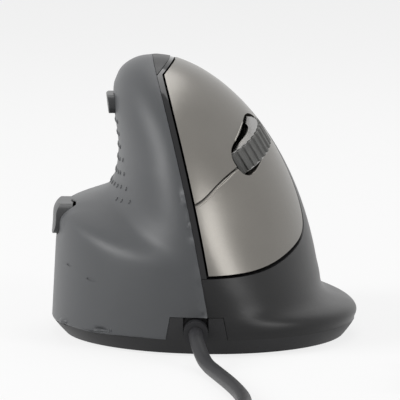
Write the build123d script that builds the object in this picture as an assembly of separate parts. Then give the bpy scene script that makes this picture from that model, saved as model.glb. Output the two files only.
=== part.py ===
from build123d import *
import math
import os

# A vertical ergonomic mouse for the left hand, in millimetres. The origin is the middle of the
# base, on the desk. +Z is up, -Y is the front, where the cord leaves, -X is the thumb side and
# +X the side that the fingers lie on.

# Height, and how far the form reaches from its crown
body_tall = 75.0
crown_x = -12.9
crown_y = -4.0
crown_flat = 0.02
finger_reach = 45.0
thumb_reach = 12.6
front_reach = 48.0
back_reach = 56.0
front_widen = 7.0
thumb_widen = 4.0
wall_powers = (2.1, 0.588)
front_powers = (2.3, 0.5)
back_powers = (1.75, 0.62)
dome_power = 17

# The lip under the fingers
lip_reach = 8.85
lip_height = 8.0
lip_fade = 1.82
lip_power = 2.55

# The waist above the thumb, and the shelf that the thumb rests on
waist_depth = 2.3
waist_height = 50.0
waist_spread = 11.0
waist_start = 38.0
waist_full = 44.0
shelf_reach = 14.0
shelf_height = 36.7
shelf_soft = 1.9
shelf_drop = 12.0
shelf_crest = 46.0
shelf_swell_share = 0.055

# The bevel round the foot of the form
bevel_top = 4.8
bevel_tall = 4.2
bevel_power = 1.2
thumb_bevel = 3.8
finger_bevel = 3.1
front_bevel = 1.0
back_bevel = 3.0

# The ridge down the front and the seam beside it: where the seam meets the desk, how far it
# leans to the crown and how much of that is its bow
seam_foot = 2.15
seam_lean = 9.44
seam_bow = 6.7
ridge_beside = 1.2
ridge_sharp_share = 0.42
hollow_depth = 1.3
hollow_height = 57.0
hollow_spread = 8.0
back_lean = 2.0
back_knee = 30.0
widen_low = 2.0
widen_high = 26.0
thumb_widen_low = 30.0
thumb_widen_high = 42.0
ridge_low = 6.0
ridge_high = 34.0
ridge_fade = 66.0

# How finely the form is drawn
quarter = math.pi / 2
right_angle = 90
quarter_points = 8
front_points = 10
ridge_points = 12
ridge_power = 1.3
seam_points = 8
section_count = 28
fine_steps = 600
bevel_steps = 6
bisections = 30
crown_half = 0.7
middle_shares = (0.3, 0.7)
side_share = 0.6
front_share = 0.1

# Walls and gaps
shell_wall = 1.8
base_wall = 4.5
base_floor = 1.6
foot_thick = 0.6
base_seam_height = 4.3
seam_gap = 0.12
button_seam_gap = 0.5
button_side_gap = 0.45
strip_gap = 0.6
lower_gap = 0.8
thumb_button_gap = 0.3
seat_gap = 0.1
running_gap = 0.08
overrun = 1.0
far = 120.0

# The glossy strip, its band over the crown, and the frame under the buttons
strip_wide = 2.15
strip_sunk = 0.15
band_drop = 4.3
band_slope_deg = 47.7
frame_depth = 3.0
frame_thick = 1.3
frame_lap = 1.6
frame_boss_depth = 3.5
boss_depth = 0.5

# Outlines in the side view: shares of the front reach before the crown, and of the height
lower_edge_shares = [
    (-1.10, 0.275), (-0.9725, 0.279), (-0.911, 0.2815), (-0.807, 0.291), (-0.625, 0.319),
    (-0.454, 0.350), (-0.347, 0.373), (-0.229, 0.420), (-0.156, 0.487), (-0.104, 0.560),
    (-0.031, 0.693), (0.031, 0.827), (0.063, 0.920), (0.073, 1.05)]
button_seam_shares = [
    (-1.10, 0.375), (-0.917, 0.496), (-0.880, 0.517), (-0.781, 0.573), (-0.663, 0.617),
    (-0.604, 0.632), (-0.333, 0.700), (-0.075, 0.765), (0.167, 0.827)]

# The scroll wheel and its own frame: along the slot, across it and out of the case
wheel_x = 5.8
wheel_y = -19.3
wheel_z = 49.8
wheel_radius = 12.0
tyre_inner = 9.2
tyre_wide = 6.2
rib_count = 36
rib_deep = 0.5
rib_share = 0.45
rib_slope_share = 0.15
rim_radius = 11.4
rim_thick = 0.35
dish_radius = 8.6
dish_deep = 0.9
axle_radius = 1.0
axle_direction = (0.475, 0.28, -0.835)
out_direction = (0.868, -0.305, 0.39)
slot_shares = [
    (1.25, 0.03), (1.04, 0.44), (0.79, 0.64), (0.25, 0.66), (-0.33, 0.67), (-0.80, 0.66),
    (-1.0, 0.46), (-1.117, 0.10), (-1.133, -0.29), (-1.033, -0.54), (-0.79, -0.67),
    (-0.25, -0.74), (0.33, -0.79), (0.917, -0.69), (1.3, -0.42)]

# The carrier that holds the wheel and swings it down on its switch
arm_thick = 1.2
arm_gap = 0.5
arm_rise = 2.0
bar_rise = -0.8
pivot_back = 15.5
pivot_drop = 2.3
pivot_radius = 1.0
bar_front = 13.4
bar_long = 3.0
lug_thick = 2.0
lug_half = 2.5
encoder_wide = 3.6
encoder_size = 8.4
encoder_sunk = 0.4
bore_gap = 0.08

# Boards
board_thick = 1.2
board_drop = 7.5
board_front = 18.6
board_back = 21.5
board_low = 18.0
board_high = 10.5
board_ear_front = 2.0
board_ear_high = 15.0
frame_boss_shares = [(-1.125, 0.675), (0.792, -1.208), (1.575, 0.917)]
frame_screw_long = 4.6
board_slot_long = 22.0
board_slot_wide = 9.6
main_board_height = 5.4
main_board_left = -21.0
main_board_right = 16.0
main_board_front = -34.0
main_board_back = 22.0
main_board_corner = 3.0

# Switches with a sliding plunger: micro switches on the upright board, small ones elsewhere
micro_long = 12.8
micro_wide = 5.8
micro_tall = 5.3
micro_plunger_wide = 2.4
micro_plunger_rise = 0.9
tact_size = 6.0
tact_tall = 3.5
tact_plunger_radius = 1.2
tact_plunger_rise = 1.0
plunger_sunk = 1.6
contact_gap = 0.1
micro_travel = 1.0
upper_switch_shares = (0.792, 0.917)
lower_switch_shares = (-0.75, -1.042)
click_switch_along = -14.9
post_radius = 1.5

# Thumb buttons, seen from the side
upper_thumb_y = -4.0
upper_thumb_z = 61.9
upper_thumb_long = 17.0
upper_thumb_tall = 5.0
upper_thumb_inner = -21.4
lower_thumb_y = -6.0
lower_thumb_z = 31.4
lower_thumb_long = 24.0
lower_thumb_tall = 8.0
lower_thumb_inner = -35.6
thumb_proud = 1.1
thumb_travel = 0.8
upper_thumb_proud = 1.9
flange_thick = 0.9
flange_lap = 1.2
flange_gap = 0.3
lower_flange_tall = 3.6
lower_flange_drop = 1.8
thumb_post_long = 1.6
thumb_board_tall = 6.0
thumb_boss_radius = 1.6

# Screws
screw_radius = 1.0
screw_head_radius = 1.9
screw_head_tall = 1.3
base_screw_radius = 1.2
base_screw_head_radius = 2.4
base_screw_head_tall = 1.2
base_screw_long = 8.0
base_pad_tall = 1.5
base_pad_rim = 1.2
thumb_screw_shares = [(-0.521, -0.646), (-0.604, 0.458)]
finger_screw_shares = [(0.5625, -0.354), (0.49, 0.396)]
screw_column_radius = 3.0
board_boss_radius = 2.1

# Sensor, chips, glide feet
sensor_window_radius = 4.0
sensor_y = -8.0
sensor_x = -4.0
lens_long = 17.0
lens_wide = 11.0
lens_eye_radius = 2.2
sensor_long = 12.0
sensor_wide = 10.0
sensor_tall = 2.4
chip_size = 9.0
chip_tall = 1.4
chip_x = 6.0
chip_y = 8.0
header_wide = 9.0
header_long = 5.0
header_tall = 5.6
header_back = -28.0
link_radius = 1.3
link_socket = 5.0
link_socket_tall = 2.6
link_along = -3.0
link_across = -15.0
link_foot_x = 8.0
link_foot_y = -20.0
link_run = 7.0
link_rise = 14.0
foot_wide = 7.0
foot_shares = [(0.0, -0.854, 0.458), (-0.042, 0.875, 0.458), (-0.646, 0.083, 0.25), (0.646, 0.042, 0.25)]
board_post_inset = 4.0

# The cord, its strain relief and the tab that holds it
cord_radius = 1.85
cord_x = -2.2
cord_height = 6.6
cord_exit = 3.6
grommet_radius = 3.2
grommet_ring = 0.45
grommet_rings = 3
grommet_set = 1.2
grommet_flange = 4.1
grommet_flange_thick = 1.2
core_radius = 1.6
core_run = 3.4
tab_height = 10.1
tab_left = -8.8
tab_right = 4.9
tab_flare = 1.15
opening_half = 3.3

# The free cord: its route along the desk, each run and arc chosen by hand, then its coil
cord_lies = 1.95
arc_share = 0.45
lead_points = [
    (-2.2, -61.0, 6.6), (-1.2, -67.5, 4.4), (0.4, -75.5, 2.2), (3.4, -88.0, 1.95),
    (6.8, -104.0, 1.95), (9.6, -122.0, 1.95), (9.4, -140.0, 1.95), (2.4, -156.0, 1.95),
    (-5.0, -170.0, 1.95), (-7.6, -180.0, 1.95)]
coil_x = 25.1
coil_y = -193.0
coil_radius = 32.7
coil_pitch = 5.05
coil_climb = 4.4
coil_half_turns = 9
tail_points = [
    (57.8, -178.0, 6.25), (59.0, -165.0, 4.6), (61.5, -149.0, 3.95), (62.5, -132.0, 3.95),
    (62.5, -120.5, 3.95)]
gap_wanted = 0.4
gap_steps = 24

# The plug
overmould_long = 24.0
overmould_wide = 15.0
overmould_tall = 7.8
overmould_corner = 2.4
plug_long = 19.0
plug_wide = 12.0
plug_tall = 4.5
plug_wall = 0.35
tongue_wide = 9.6
tongue_tall = 1.9
tongue_rise = 0.6
nose_long = 9.0
nose_radius = 3.3
nose_end_radius = 2.5


def ease(low, high, value):
    step = min(max((value - low) / (high - low), 0), 1)
    return step * step * (3 - 2 * step)


def seam_x(z):
    """The seam down the front, as a place across, at a height."""
    rise = z / body_tall
    return seam_foot - seam_lean * rise - seam_bow * rise ** 2


def thumb_limit(z):
    """How far the form goes on the thumb side: a dome, a waist and the shelf below."""
    rise = min(max(z / body_tall, 0), 1)
    dome = thumb_reach * math.sqrt(1 - rise ** dome_power)
    waist = waist_depth * math.exp(-(((z - waist_height) / waist_spread) ** 2))
    waist *= ease(waist_start, waist_full, z)
    shelf = (1 - math.tanh((z - shelf_height) / shelf_soft)) / 2
    swell = shelf_reach + shelf_swell_share * max(shelf_height - z, 0)
    return crown_x - dome + waist - shelf * (swell - waist)


def limits(z, inset):
    """Left, right, front and back of the form at a height, drawn in by an inset."""
    high = z + inset
    rise = min(max(high / body_tall, 0), 1)
    foot = min(max((bevel_top - high) / bevel_tall, 0), 1) ** bevel_power
    lip = lip_reach / (1 + (max(high - lip_height, 0) / lip_fade) ** lip_power)
    wall = finger_reach * (1 - rise ** wall_powers[0]) ** wall_powers[1]
    nose = front_reach * (1 - rise ** front_powers[0]) ** front_powers[1]
    tail = back_reach * (1 - rise ** back_powers[0]) ** back_powers[1]
    left = thumb_limit(high) + thumb_bevel * foot + inset
    right = crown_x + wall + lip - finger_bevel * foot - inset
    front = crown_y - nose + front_bevel * foot + inset
    back = crown_y + tail - back_bevel * foot - inset
    return left, right, front, back


def section(z, inset):
    """Points round the form at a height, from the thumb side forward and round the fingers."""
    high = z + inset
    left, right, front, back = limits(z, inset)
    wide = right - left
    right_y = crown_y - front_widen * (1 - ease(widen_low, widen_high, high))
    left_y = crown_y - thumb_widen * (1 - ease(thumb_widen_low, thumb_widen_high, high))
    inner = left + middle_shares[0] * wide, left + middle_shares[1] * wide
    ridge_x = min(max(seam_x(high) + ridge_beside, inner[0]), inner[1])
    back_x = -back_lean * min(high / back_knee, 1)
    back_x += (crown_x + back_lean) * max(high - back_knee, 0) / (body_tall - back_knee)
    back_x = min(max(back_x, inner[0]), inner[1])
    sharp = ease(ridge_low, ridge_high, high) * (1 - ease(ridge_fade, body_tall, high))
    sharp = 1 + ridge_sharp_share * sharp
    hollow = hollow_depth * math.exp(-(((high - hollow_height) / hollow_spread) ** 2))

    def finger_front(turn):
        x = ridge_x + (right - ridge_x) * math.sin(turn) ** sharp
        return x - hollow * math.sin(2 * turn) ** 2, right_y + (front - right_y) * math.cos(turn)

    def finger_back(turn):
        return back_x + (right - back_x) * math.cos(turn), right_y + (back - right_y) * math.sin(turn)

    def thumb_back(turn):
        return back_x + (left - back_x) * math.sin(turn), left_y + (back - left_y) * math.cos(turn)

    def thumb_front(turn):
        lifted = max(high, min(high + shelf_drop * math.sin(turn) ** 2, shelf_crest))
        side = left + thumb_limit(lifted) - thumb_limit(high)
        return ridge_x + (side - ridge_x) * math.cos(turn), left_y + (front - left_y) * math.sin(turn)

    half = quarter_points // 2
    places = [thumb_back(quarter * i / quarter_points) for i in range(half, quarter_points)]
    places += [thumb_front(quarter * i / front_points) for i in range(front_points)]
    places += [finger_front(quarter * (i / ridge_points) ** ridge_power) for i in range(ridge_points)]
    places += [finger_back(quarter * i / quarter_points) for i in range(quarter_points)]
    places += [thumb_back(quarter * i / quarter_points) for i in range(half)]
    return [(x, y, z) for x, y in places]


def crown_level(inset):
    """The height at which an inset form has drawn in to a small flat."""
    if inset <= 0:
        return body_tall - inset - crown_flat
    low, high = body_tall / 2, body_tall - inset
    for _ in range(bisections):
        middle = (low + high) / 2
        rise = (middle + inset) / body_tall
        spare = min(
            finger_reach * (1 - rise ** wall_powers[0]) ** wall_powers[1],
            front_reach * (1 - rise ** front_powers[0]) ** front_powers[1],
            back_reach * (1 - rise ** back_powers[0]) ** back_powers[1],
            thumb_reach * math.sqrt(1 - rise ** dome_power)) - inset
        low, high = (middle, high) if spare > crown_half else (low, middle)
    return low


def levels(low, high, inset):
    """Heights of the sections, closer together where the sides run level."""
    heights = [low + (high - low) * math.sin(quarter * i / fine_steps) for i in range(fine_steps + 1)]
    runs = [0]
    for lower, upper in zip(heights, heights[1:]):
        moves = [b - a for a, b in zip(limits(lower, inset), limits(upper, inset))]
        sides = moves[0] ** 2 + moves[1] ** 2
        run = (upper - lower) ** 2 + side_share * sides + front_share * moves[2] ** 2
        runs.append(runs[-1] + math.sqrt(run))
    found = []
    place = 0
    for level in range(section_count):
        wanted = runs[-1] * level / (section_count - 1)
        while place < fine_steps - 1 and runs[place + 1] < wanted:
            place += 1
        part = (wanted - runs[place]) / (runs[place + 1] - runs[place])
        found.append(heights[place] + (heights[place + 1] - heights[place]) * part)
    return found


def shared_parameters():
    """Where the points lie along a section, alike in all sections, from the runs in one of them."""
    points = section(shelf_height / 2, 0)
    runs = [0]
    for start, end in zip(points, points[1:] + points[:1]):
        runs.append(runs[-1] + math.dist(start, end))
    return [run / runs[-1] for run in runs]


def ring(z, inset):
    points = [Vector(*point) for point in section(z, inset)]
    return Wire([Edge.make_spline(points, periodic=True, parameters=ring_parameters)])


def form(inset, low=base_seam_height - overrun):
    """The whole outer form as one solid, drawn in by an inset, from a height up to its crown."""
    rings = [ring(z, inset) for z in levels(low, crown_level(inset), inset)]
    return Part() + Solid.make_loft(rings)


def prism(plane, edges):
    """A solid far thicker than the mouse from a closed outline."""
    return extrude(plane * make_face(edges), far, both=True)


def box_between(low, high):
    size = [b - a for a, b in zip(low, high)]
    middle = [(a + b) / 2 for a, b in zip(low, high)]
    return Pos(*middle) * Box(*size)


def column(x, y, low, high, radius):
    return Pos(x, y, (low + high) / 2) * Cylinder(radius, high - low)


def finger_side(beside):
    """Everything on the finger side of the seam, from a distance beside it."""
    low, high = -overrun, body_tall + overrun
    heights = [low + (high - low) * i / seam_points for i in range(seam_points + 1)]
    line = Spline(*[(seam_x(z) + beside, z) for z in heights])
    start, end = line @ 0, line @ 1
    return prism(Plane.XZ, [line, Polyline(end, (far, end.Y), (far, start.Y), start)])


def below_band(beside, drop):
    """What lies below a line that climbs over the crown from a point beside the seam."""
    turn_z = body_tall - drop
    turn_x = seam_x(turn_z) + beside
    end_x = turn_x + (far - turn_z) / math.tan(math.radians(band_slope_deg))
    corners = [(-far, -far), (-far, turn_z), (turn_x, turn_z), (end_x, far), (far, far), (far, -far)]
    return prism(Plane.XZ, Polyline(*corners, close=True))


def under_band(beside, drop):
    return finger_side(beside) & below_band(beside, drop)


def side_points(shares, forward=0, up=0):
    """Places in the side view, from shares of the front reach and of the height."""
    return [(crown_y + front_reach * y + forward, body_tall * z + up) for y, z in shares]


def above_lower_edge(grow_down, grow_back):
    """What lies above and before the lower and rear edge of the buttons, seen from the side."""
    line = Spline(*side_points(lower_edge_shares, grow_back, -grow_down))
    start, end = line @ 0, line @ 1
    return prism(Plane.YZ, [line, Polyline(end, (-far, end.Y), (-far, start.Y), start)])


def above_button_seam(up):
    line = Spline(*side_points(button_seam_shares, 0, up))
    start, end = line @ 0, line @ 1
    return prism(Plane.YZ, [line, Polyline(end, (end.X, far), (-far, far), (-far, start.Y), start)])


def stadium(y, z, long, tall, grow, x_low, x_high):
    """A long round-ended slug that runs across the mouse."""
    shape = SlotOverall(long + 2 * grow, tall + 2 * grow)
    return extrude(Plane.YZ.offset(x_low) * Pos(y, z) * shape, x_high - x_low)


def local_box(along, across, out):
    """A box in the wheel's own frame."""
    low = along[0], across[0], out[0]
    high = along[1], across[1], out[1]
    return wheel_frame * box_between(low, high)


def local_column(along, across, low, high, radius):
    return wheel_frame * column(along, across, low, high, radius)


def local_cross_pin(along, out, low, high, radius):
    """A round pin across the slot, parallel to the axle."""
    pin = Rot(X=right_angle) * Cylinder(radius, high - low)
    return wheel_frame * (Pos(along, (low + high) / 2, out) * pin)


# Places that follow from the sizes above
cord_end_y = crown_y - front_reach - cord_exit
grommet_seat = crown_y - front_reach + shell_wall + grommet_set
base_pad_top = foot_thick + base_floor + base_pad_tall
half_wheel = tyre_wide / 2 + rim_thick
half_carrier = half_wheel + arm_gap + arm_thick
carrier_drop = board_drop - tact_tall - tact_plunger_rise - contact_gap
micro_top = micro_tall - board_drop
header_front = header_back - header_long
cord_header_middle = main_board_height + board_thick + header_tall / 2

# Places given as shares: of the wheel's radius in its own frame, of the front reach on the base
frame_boss_places = [(wheel_radius * u, wheel_radius * v) for u, v in frame_boss_shares]
upper_switch_place = tuple(wheel_radius * share for share in upper_switch_shares)
lower_switch_place = tuple(wheel_radius * share for share in lower_switch_shares)
thumb_screw_places = [(front_reach * u, front_reach * v) for u, v in thumb_screw_shares]
finger_screw_places = [(front_reach * u, front_reach * v) for u, v in finger_screw_shares]
foot_places = [[front_reach * share for share in shares] for shares in foot_shares]
board_post_x = main_board_left + board_post_inset, main_board_right - board_post_inset
board_post_y = main_board_front + board_post_inset, main_board_back - board_post_inset
board_post_places = [(x, y) for x in board_post_x for y in board_post_y]

# The wheel's own frame
axle = Vector(*axle_direction).normalized()
out_way = Vector(*out_direction)
out_way = (out_way - axle * out_way.dot(axle)).normalized()
wheel_frame = Plane(origin=(wheel_x, wheel_y, wheel_z), x_dir=out_way.cross(axle), z_dir=out_way)

# The forms that the shells, buttons and frame are cut from
ring_parameters = shared_parameters()
outer = form(0, base_seam_height)
inner = form(shell_wall)
hollow = outer - inner
strip_skin = form(strip_sunk)
lip_top = form(shell_wall + seat_gap)
frame_top = form(frame_depth)
frame_bottom = form(frame_depth + frame_thick)
boss_limit = form(boss_depth)
frame_boss_limit = form(frame_boss_depth)
button_ground = under_band(strip_wide, band_drop) & above_lower_edge(0, 0)
window = below_band(seam_gap, band_drop) & above_lower_edge(lower_gap, button_side_gap)


def wheel_slot():
    """The wheel's slot through the buttons: pointed behind, round before."""
    points = [(wheel_radius * u, tyre_wide * v) for u, v in slot_shares]
    line = Spline(*points)
    face = make_face([line, Line(line @ 1, line @ 0)])
    return wheel_frame * extrude(face, far)


def tab_solid(grow):
    """The tab on the front of the base, wider at its foot."""
    low = base_seam_height - grow
    corners = [
        (tab_left - tab_flare - grow, low), (tab_left - grow, tab_height + grow),
        (tab_right + grow, tab_height + grow), (tab_right + tab_flare + grow, low)]
    shape = prism(Plane.XZ, Polyline(*corners, close=True))
    return shape & box_between((-far, -far, low), (far, crown_y - front_reach / 2, far))


def screw_columns(screw_places):
    """Columns that the base screws go up into, far taller than the shells."""
    foot = base_pad_top + seat_gap
    columns = Part()
    for x, y in screw_places:
        whole = column(x, y, foot, body_tall, screw_column_radius)
        columns += whole - column(x, y, 0, foot + base_screw_long, base_screw_radius + running_gap)
    return columns


def upper_thumb_slug(grow, x_low, x_high):
    return stadium(upper_thumb_y, upper_thumb_z, upper_thumb_long, upper_thumb_tall, grow, x_low, x_high)


def lower_thumb_slug(grow, x_low, x_high):
    return stadium(lower_thumb_y, lower_thumb_z, lower_thumb_long, lower_thumb_tall, grow, x_low, x_high)


def cross_column(x_low, x_high, y, z, radius):
    """A round post that runs across the mouse."""
    post = Rot(Y=right_angle) * Cylinder(radius, x_high - x_low)
    return Pos((x_low + x_high) / 2, y, z) * post


def thumb_board_face(inner_face):
    """Where the near face of a thumb switch's board lies, behind the button's inner face."""
    return inner_face + thumb_post_long + contact_gap + tact_plunger_rise + tact_tall


def thumb_post_reach(long):
    """How far the posts of a thumb switch's board stand from its middle, clear of the flange."""
    return long / 2 + flange_lap + seat_gap + thumb_button_gap + thumb_boss_radius


def thumb_bosses(y, z, inner_face, long):
    """Two posts for the board of a thumb switch, which reach far out of the shell."""
    bosses = Part()
    reach = thumb_post_reach(long)
    for way in (-1, 1):
        end = thumb_board_face(inner_face)
        bosses += cross_column(-far, end, y + way * reach, z, thumb_boss_radius)
    return bosses


def thumb_shell():
    lower_z = lower_thumb_z - lower_flange_drop
    room = flange_gap + thumb_travel + seat_gap
    posts = screw_columns(thumb_screw_places)
    posts += thumb_bosses(upper_thumb_y, upper_thumb_z, upper_thumb_inner, upper_thumb_long)
    posts += thumb_bosses(lower_thumb_y, lower_z, lower_thumb_inner, lower_thumb_long)
    shell = hollow - [
        finger_side(0), tab_solid(seam_gap),
        upper_thumb_slug(thumb_button_gap, -far, upper_thumb_inner + room),
        lower_thumb_slug(thumb_button_gap, -far, lower_thumb_inner + room)]
    return shell + (posts & boss_limit)


def finger_shell():
    ground = finger_side(seam_gap) - [window, tab_solid(seam_gap)]
    clear = frame_lap + screw_column_radius
    columns = screw_columns(finger_screw_places) - above_lower_edge(lower_gap + clear, button_side_gap + clear)
    return (hollow & ground) + (columns & boss_limit)


def strip_region(inward):
    """The ground of the strip and of its band over the crown."""
    strip = under_band(seam_gap + inward, band_drop) - under_band(strip_wide - strip_gap, band_drop)
    return strip & above_lower_edge(lower_gap - seat_gap, button_side_gap - seat_gap)


def frame_rooms():
    """What the frame leaves open: the wheel and its carrier, the switches and the board."""
    sides = -half_carrier - encoder_wide - arm_gap, half_carrier + arm_gap
    front = -bar_front - bar_long - arm_gap
    rooms = [local_box((front, pivot_back + 2 * lug_half), sides, (-far, far))]
    ears = half_carrier + 2 * arm_gap + lug_thick
    along = pivot_back - lug_half - arm_gap, pivot_back + lug_half + arm_gap
    rooms.append(local_box(along, (-ears, ears), (-far, far)))
    for along, across in (upper_switch_place, lower_switch_place):
        half_long, half_wide = micro_long / 2 + arm_gap, micro_wide / 2 + arm_gap
        ends = along - half_long, along + half_long
        rooms.append(local_box(ends, (across - half_wide, across + half_wide), (-far, far)))
    back = board_back + arm_gap
    span = -far, -board_drop
    rooms.append(local_box((-board_front - arm_gap, back), (-board_low - arm_gap, board_high + arm_gap), span))
    rooms.append(local_box((board_ear_front - arm_gap, back), (0, board_ear_high + arm_gap), span))
    return rooms


def button_frame():
    """The black frame under the finger buttons, with the strip that shows beside them."""
    lap = above_lower_edge(lower_gap + frame_lap, button_side_gap + frame_lap)
    rim = lap - above_lower_edge(lower_gap + seat_gap, button_side_gap + seat_gap)
    posts, holes = Part(), []
    hole_end = frame_screw_long - board_drop
    for along, across in frame_boss_places:
        posts += local_column(along, across, -board_drop, far, board_boss_radius)
        holes.append(local_column(along, across, -far, hole_end, screw_radius + running_gap))
    plate = frame_top & (lap & under_band(seam_gap, band_drop))
    skin = strip_skin & strip_region(0)
    lip = lip_top & (rim & under_band(frame_lap, band_drop))
    open_plate = (plate + [skin, lip]) - frame_bottom - frame_rooms()
    return (open_plate + (posts & frame_boss_limit)) - holes


def button_post(along, across):
    """The post that carries a button's press down to its switch."""
    tip = micro_top + micro_plunger_rise + contact_gap
    return local_column(along, across, tip, far, post_radius) & boss_limit


def upper_button():
    ground = button_ground & above_button_seam(button_seam_gap / 2)
    return ((hollow & ground) - wheel_slot()) + button_post(*upper_switch_place)


def lower_button():
    ground = button_ground - above_button_seam(-button_seam_gap / 2)
    return ((hollow & ground) - wheel_slot()) + button_post(*lower_switch_place)


def thumb_button(slug, proud, inner_face, y, z, flange_tall, flange_long):
    """A proud rounded button with a flange behind the shell and a post to its switch."""
    seat = inner_face + flange_gap
    pad = slug(0, -far, seat) & form(-proud)
    flange = stadium(y, z, flange_long, flange_tall, 0, seat, seat + flange_thick)
    post = cross_column(inner_face, inner_face + thumb_post_long, y, z, tact_plunger_radius)
    return pad + flange + post


def upper_thumb_button():
    return thumb_button(
        upper_thumb_slug, upper_thumb_proud, upper_thumb_inner, upper_thumb_y, upper_thumb_z,
        upper_thumb_tall + 2 * flange_lap, upper_thumb_long + 2 * flange_lap)


def lower_thumb_button():
    return thumb_button(
        lower_thumb_slug, thumb_proud, lower_thumb_inner, lower_thumb_y, lower_thumb_z - lower_flange_drop,
        lower_flange_tall, lower_thumb_long + 2 * flange_lap)


def cord_pin(y_low, y_high, radius):
    """A round pin on the cord's line where it leaves the mouse."""
    pin = Rot(X=right_angle) * Cylinder(radius, y_high - y_low)
    return Pos(cord_x, (y_low + y_high) / 2, cord_height) * pin


def base():
    """The tray under the shells, with the tab for the cord, screw pads and board posts."""
    floor_top = foot_thick + base_floor
    outline = Plane.XY.offset(floor_top - base_seam_height) * make_face(
        Spline(*section(base_seam_height, base_wall), periodic=True))
    heights = [foot_thick + (base_seam_height - foot_thick) * i / bevel_steps for i in range(bevel_steps + 1)]
    tray = Part() + Solid.make_loft([ring(z, 0) for z in heights])
    pad_foot = foot_thick + base_floor / 2
    pads, holes = Part(), [
        column(sensor_x, sensor_y, 0, far, sensor_window_radius),
        cord_pin(-far, grommet_seat, opening_half),
        box_between(
            (cord_x - opening_half, -far, cord_height), (cord_x + opening_half, grommet_seat, far)),
        cord_pin(
            grommet_seat - seat_gap, grommet_seat + grommet_flange_thick + seat_gap,
            grommet_flange + seat_gap)]
    for x, y in thumb_screw_places + finger_screw_places:
        pads += column(x, y, pad_foot, base_pad_top, screw_column_radius + base_pad_rim)
        head_top = foot_thick + base_screw_head_tall + seat_gap
        holes.append(column(x, y, 0, head_top, base_screw_head_radius + seat_gap))
        holes.append(column(x, y, 0, far, base_screw_radius + running_gap))
    for x, y in board_post_places:
        pads += column(x, y, pad_foot, main_board_height, board_boss_radius)
        holes.append(column(x, y, floor_top, far, screw_radius + running_gap))
    tab = hollow & tab_solid(0)
    return ((tray - extrude(outline, far)) + [pads, tab]) - holes


def cord_grommet():
    """The ringed strain relief, with the flange that holds it behind the tab."""
    end = grommet_seat + grommet_flange_thick
    ring_step = (grommet_seat - cord_end_y) / (2 * grommet_rings + 1)
    grommet = cord_pin(grommet_seat, end, grommet_flange)
    for i in range(2 * grommet_rings + 1):
        front = cord_end_y + i * ring_step
        radius = grommet_radius - (i % 2) * grommet_ring
        grommet += cord_pin(front, front + ring_step, radius)
    return grommet


def tube(points, radius):
    """A tube along straight runs joined by arcs as large as the runs allow."""
    places = [Vector(*p) for p in points]
    radii = []
    for before, corner, after in zip(places, places[1:], places[2:]):
        inward, onward = corner - before, after - corner
        half_turn = math.radians(inward.get_angle(onward)) / 2
        radii.append(arc_share * min(inward.length, onward.length) / math.tan(half_turn))
    path = FilletPolyline(*places, radius=radii)
    start = Plane(origin=path @ 0, z_dir=path % 0)
    return sweep(start * Circle(radius), path=path), path, radii


def cord_core():
    """The cord inside the case, from its strain relief to its header on the board."""
    start = grommet_seat + grommet_flange_thick
    rise = cord_header_middle
    points = [
        (cord_x, start, cord_height), (cord_x, start + core_run, cord_height),
        (cord_x, header_front - core_run, rise), (cord_x, header_front, rise)]
    return tube(points, core_radius)[0]


def scroll_tyre():
    """The rubber tyre, ribbed across its tread."""
    points = []
    step = 360 / rib_count
    for i in range(rib_count):
        groove = 1 - rib_share
        for radius, start, share in (
                (wheel_radius, 0, groove), (wheel_radius - rib_deep, groove, rib_share)):
            for turn in (start + rib_slope_share * share, start + (1 - rib_slope_share) * share):
                angle = math.radians(step * (i + turn))
                points.append((radius * math.cos(angle), radius * math.sin(angle)))
    tread = extrude(make_face(Polyline(*points, close=True)), tyre_wide / 2, both=True)
    tread -= Cylinder(tyre_inner, tyre_wide + overrun)
    return wheel_frame * (Rot(X=right_angle) * tread)


def scroll_hub():
    """The hub with a bright rim and a dished face on each side, and its axle."""
    hub = Cylinder(tyre_inner, tyre_wide)
    for way in (-1, 1):
        hub += Pos(0, 0, way * (tyre_wide + rim_thick) / 2) * Cylinder(rim_radius, rim_thick)
    for way in (-1, 1):
        hub -= Pos(0, 0, way * (half_wheel - dish_deep / 2)) * Cylinder(dish_radius, dish_deep)
    hub = wheel_frame * (Rot(X=right_angle) * hub)
    return hub + local_cross_pin(0, 0, -half_carrier - encoder_wide, half_carrier, axle_radius)


def wheel_carrier():
    """The swinging fork that holds the axle, with its own pivot pin behind the wheel."""
    carrier = local_box(
        (-bar_front - bar_long, -bar_front), (-half_carrier, half_carrier), (-carrier_drop, bar_rise))
    carrier += local_box(
        (bar_front - arm_gap, bar_front - arm_gap + arm_thick), (-half_carrier, half_carrier),
        (-carrier_drop, bar_rise))
    for side in (-half_carrier, half_carrier - arm_thick):
        sides = side, side + arm_thick
        carrier += local_box((-bar_front - bar_long, pivot_back), sides, (-carrier_drop, bar_rise))
        carrier += local_box((-arm_rise, arm_rise), sides, (-carrier_drop, 0))
        carrier += local_cross_pin(0, 0, *sides, arm_rise)
        carrier += local_cross_pin(pivot_back, -pivot_drop, *sides, pivot_radius + arm_thick)
    pin_end = half_carrier + arm_gap + lug_thick
    carrier += local_cross_pin(pivot_back, -pivot_drop, -pin_end, pin_end, pivot_radius)
    return carrier - local_cross_pin(0, 0, -far, far, axle_radius + bore_gap)


def carrier_bracket():
    """Two ears on a plate, in which the carrier's pin turns."""
    along = pivot_back - lug_half, pivot_back + lug_half
    inside = half_carrier + arm_gap
    outside = inside + lug_thick
    bracket = local_box(along, (-outside, outside), (-board_drop, -board_drop + arm_thick))
    for sides in ((-outside, -inside), (inside, outside)):
        bracket += local_box(along, sides, (-board_drop, -pivot_drop + pivot_radius + arm_thick))
    return bracket - local_cross_pin(pivot_back, -pivot_drop, -far, far, pivot_radius + bore_gap)


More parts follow.
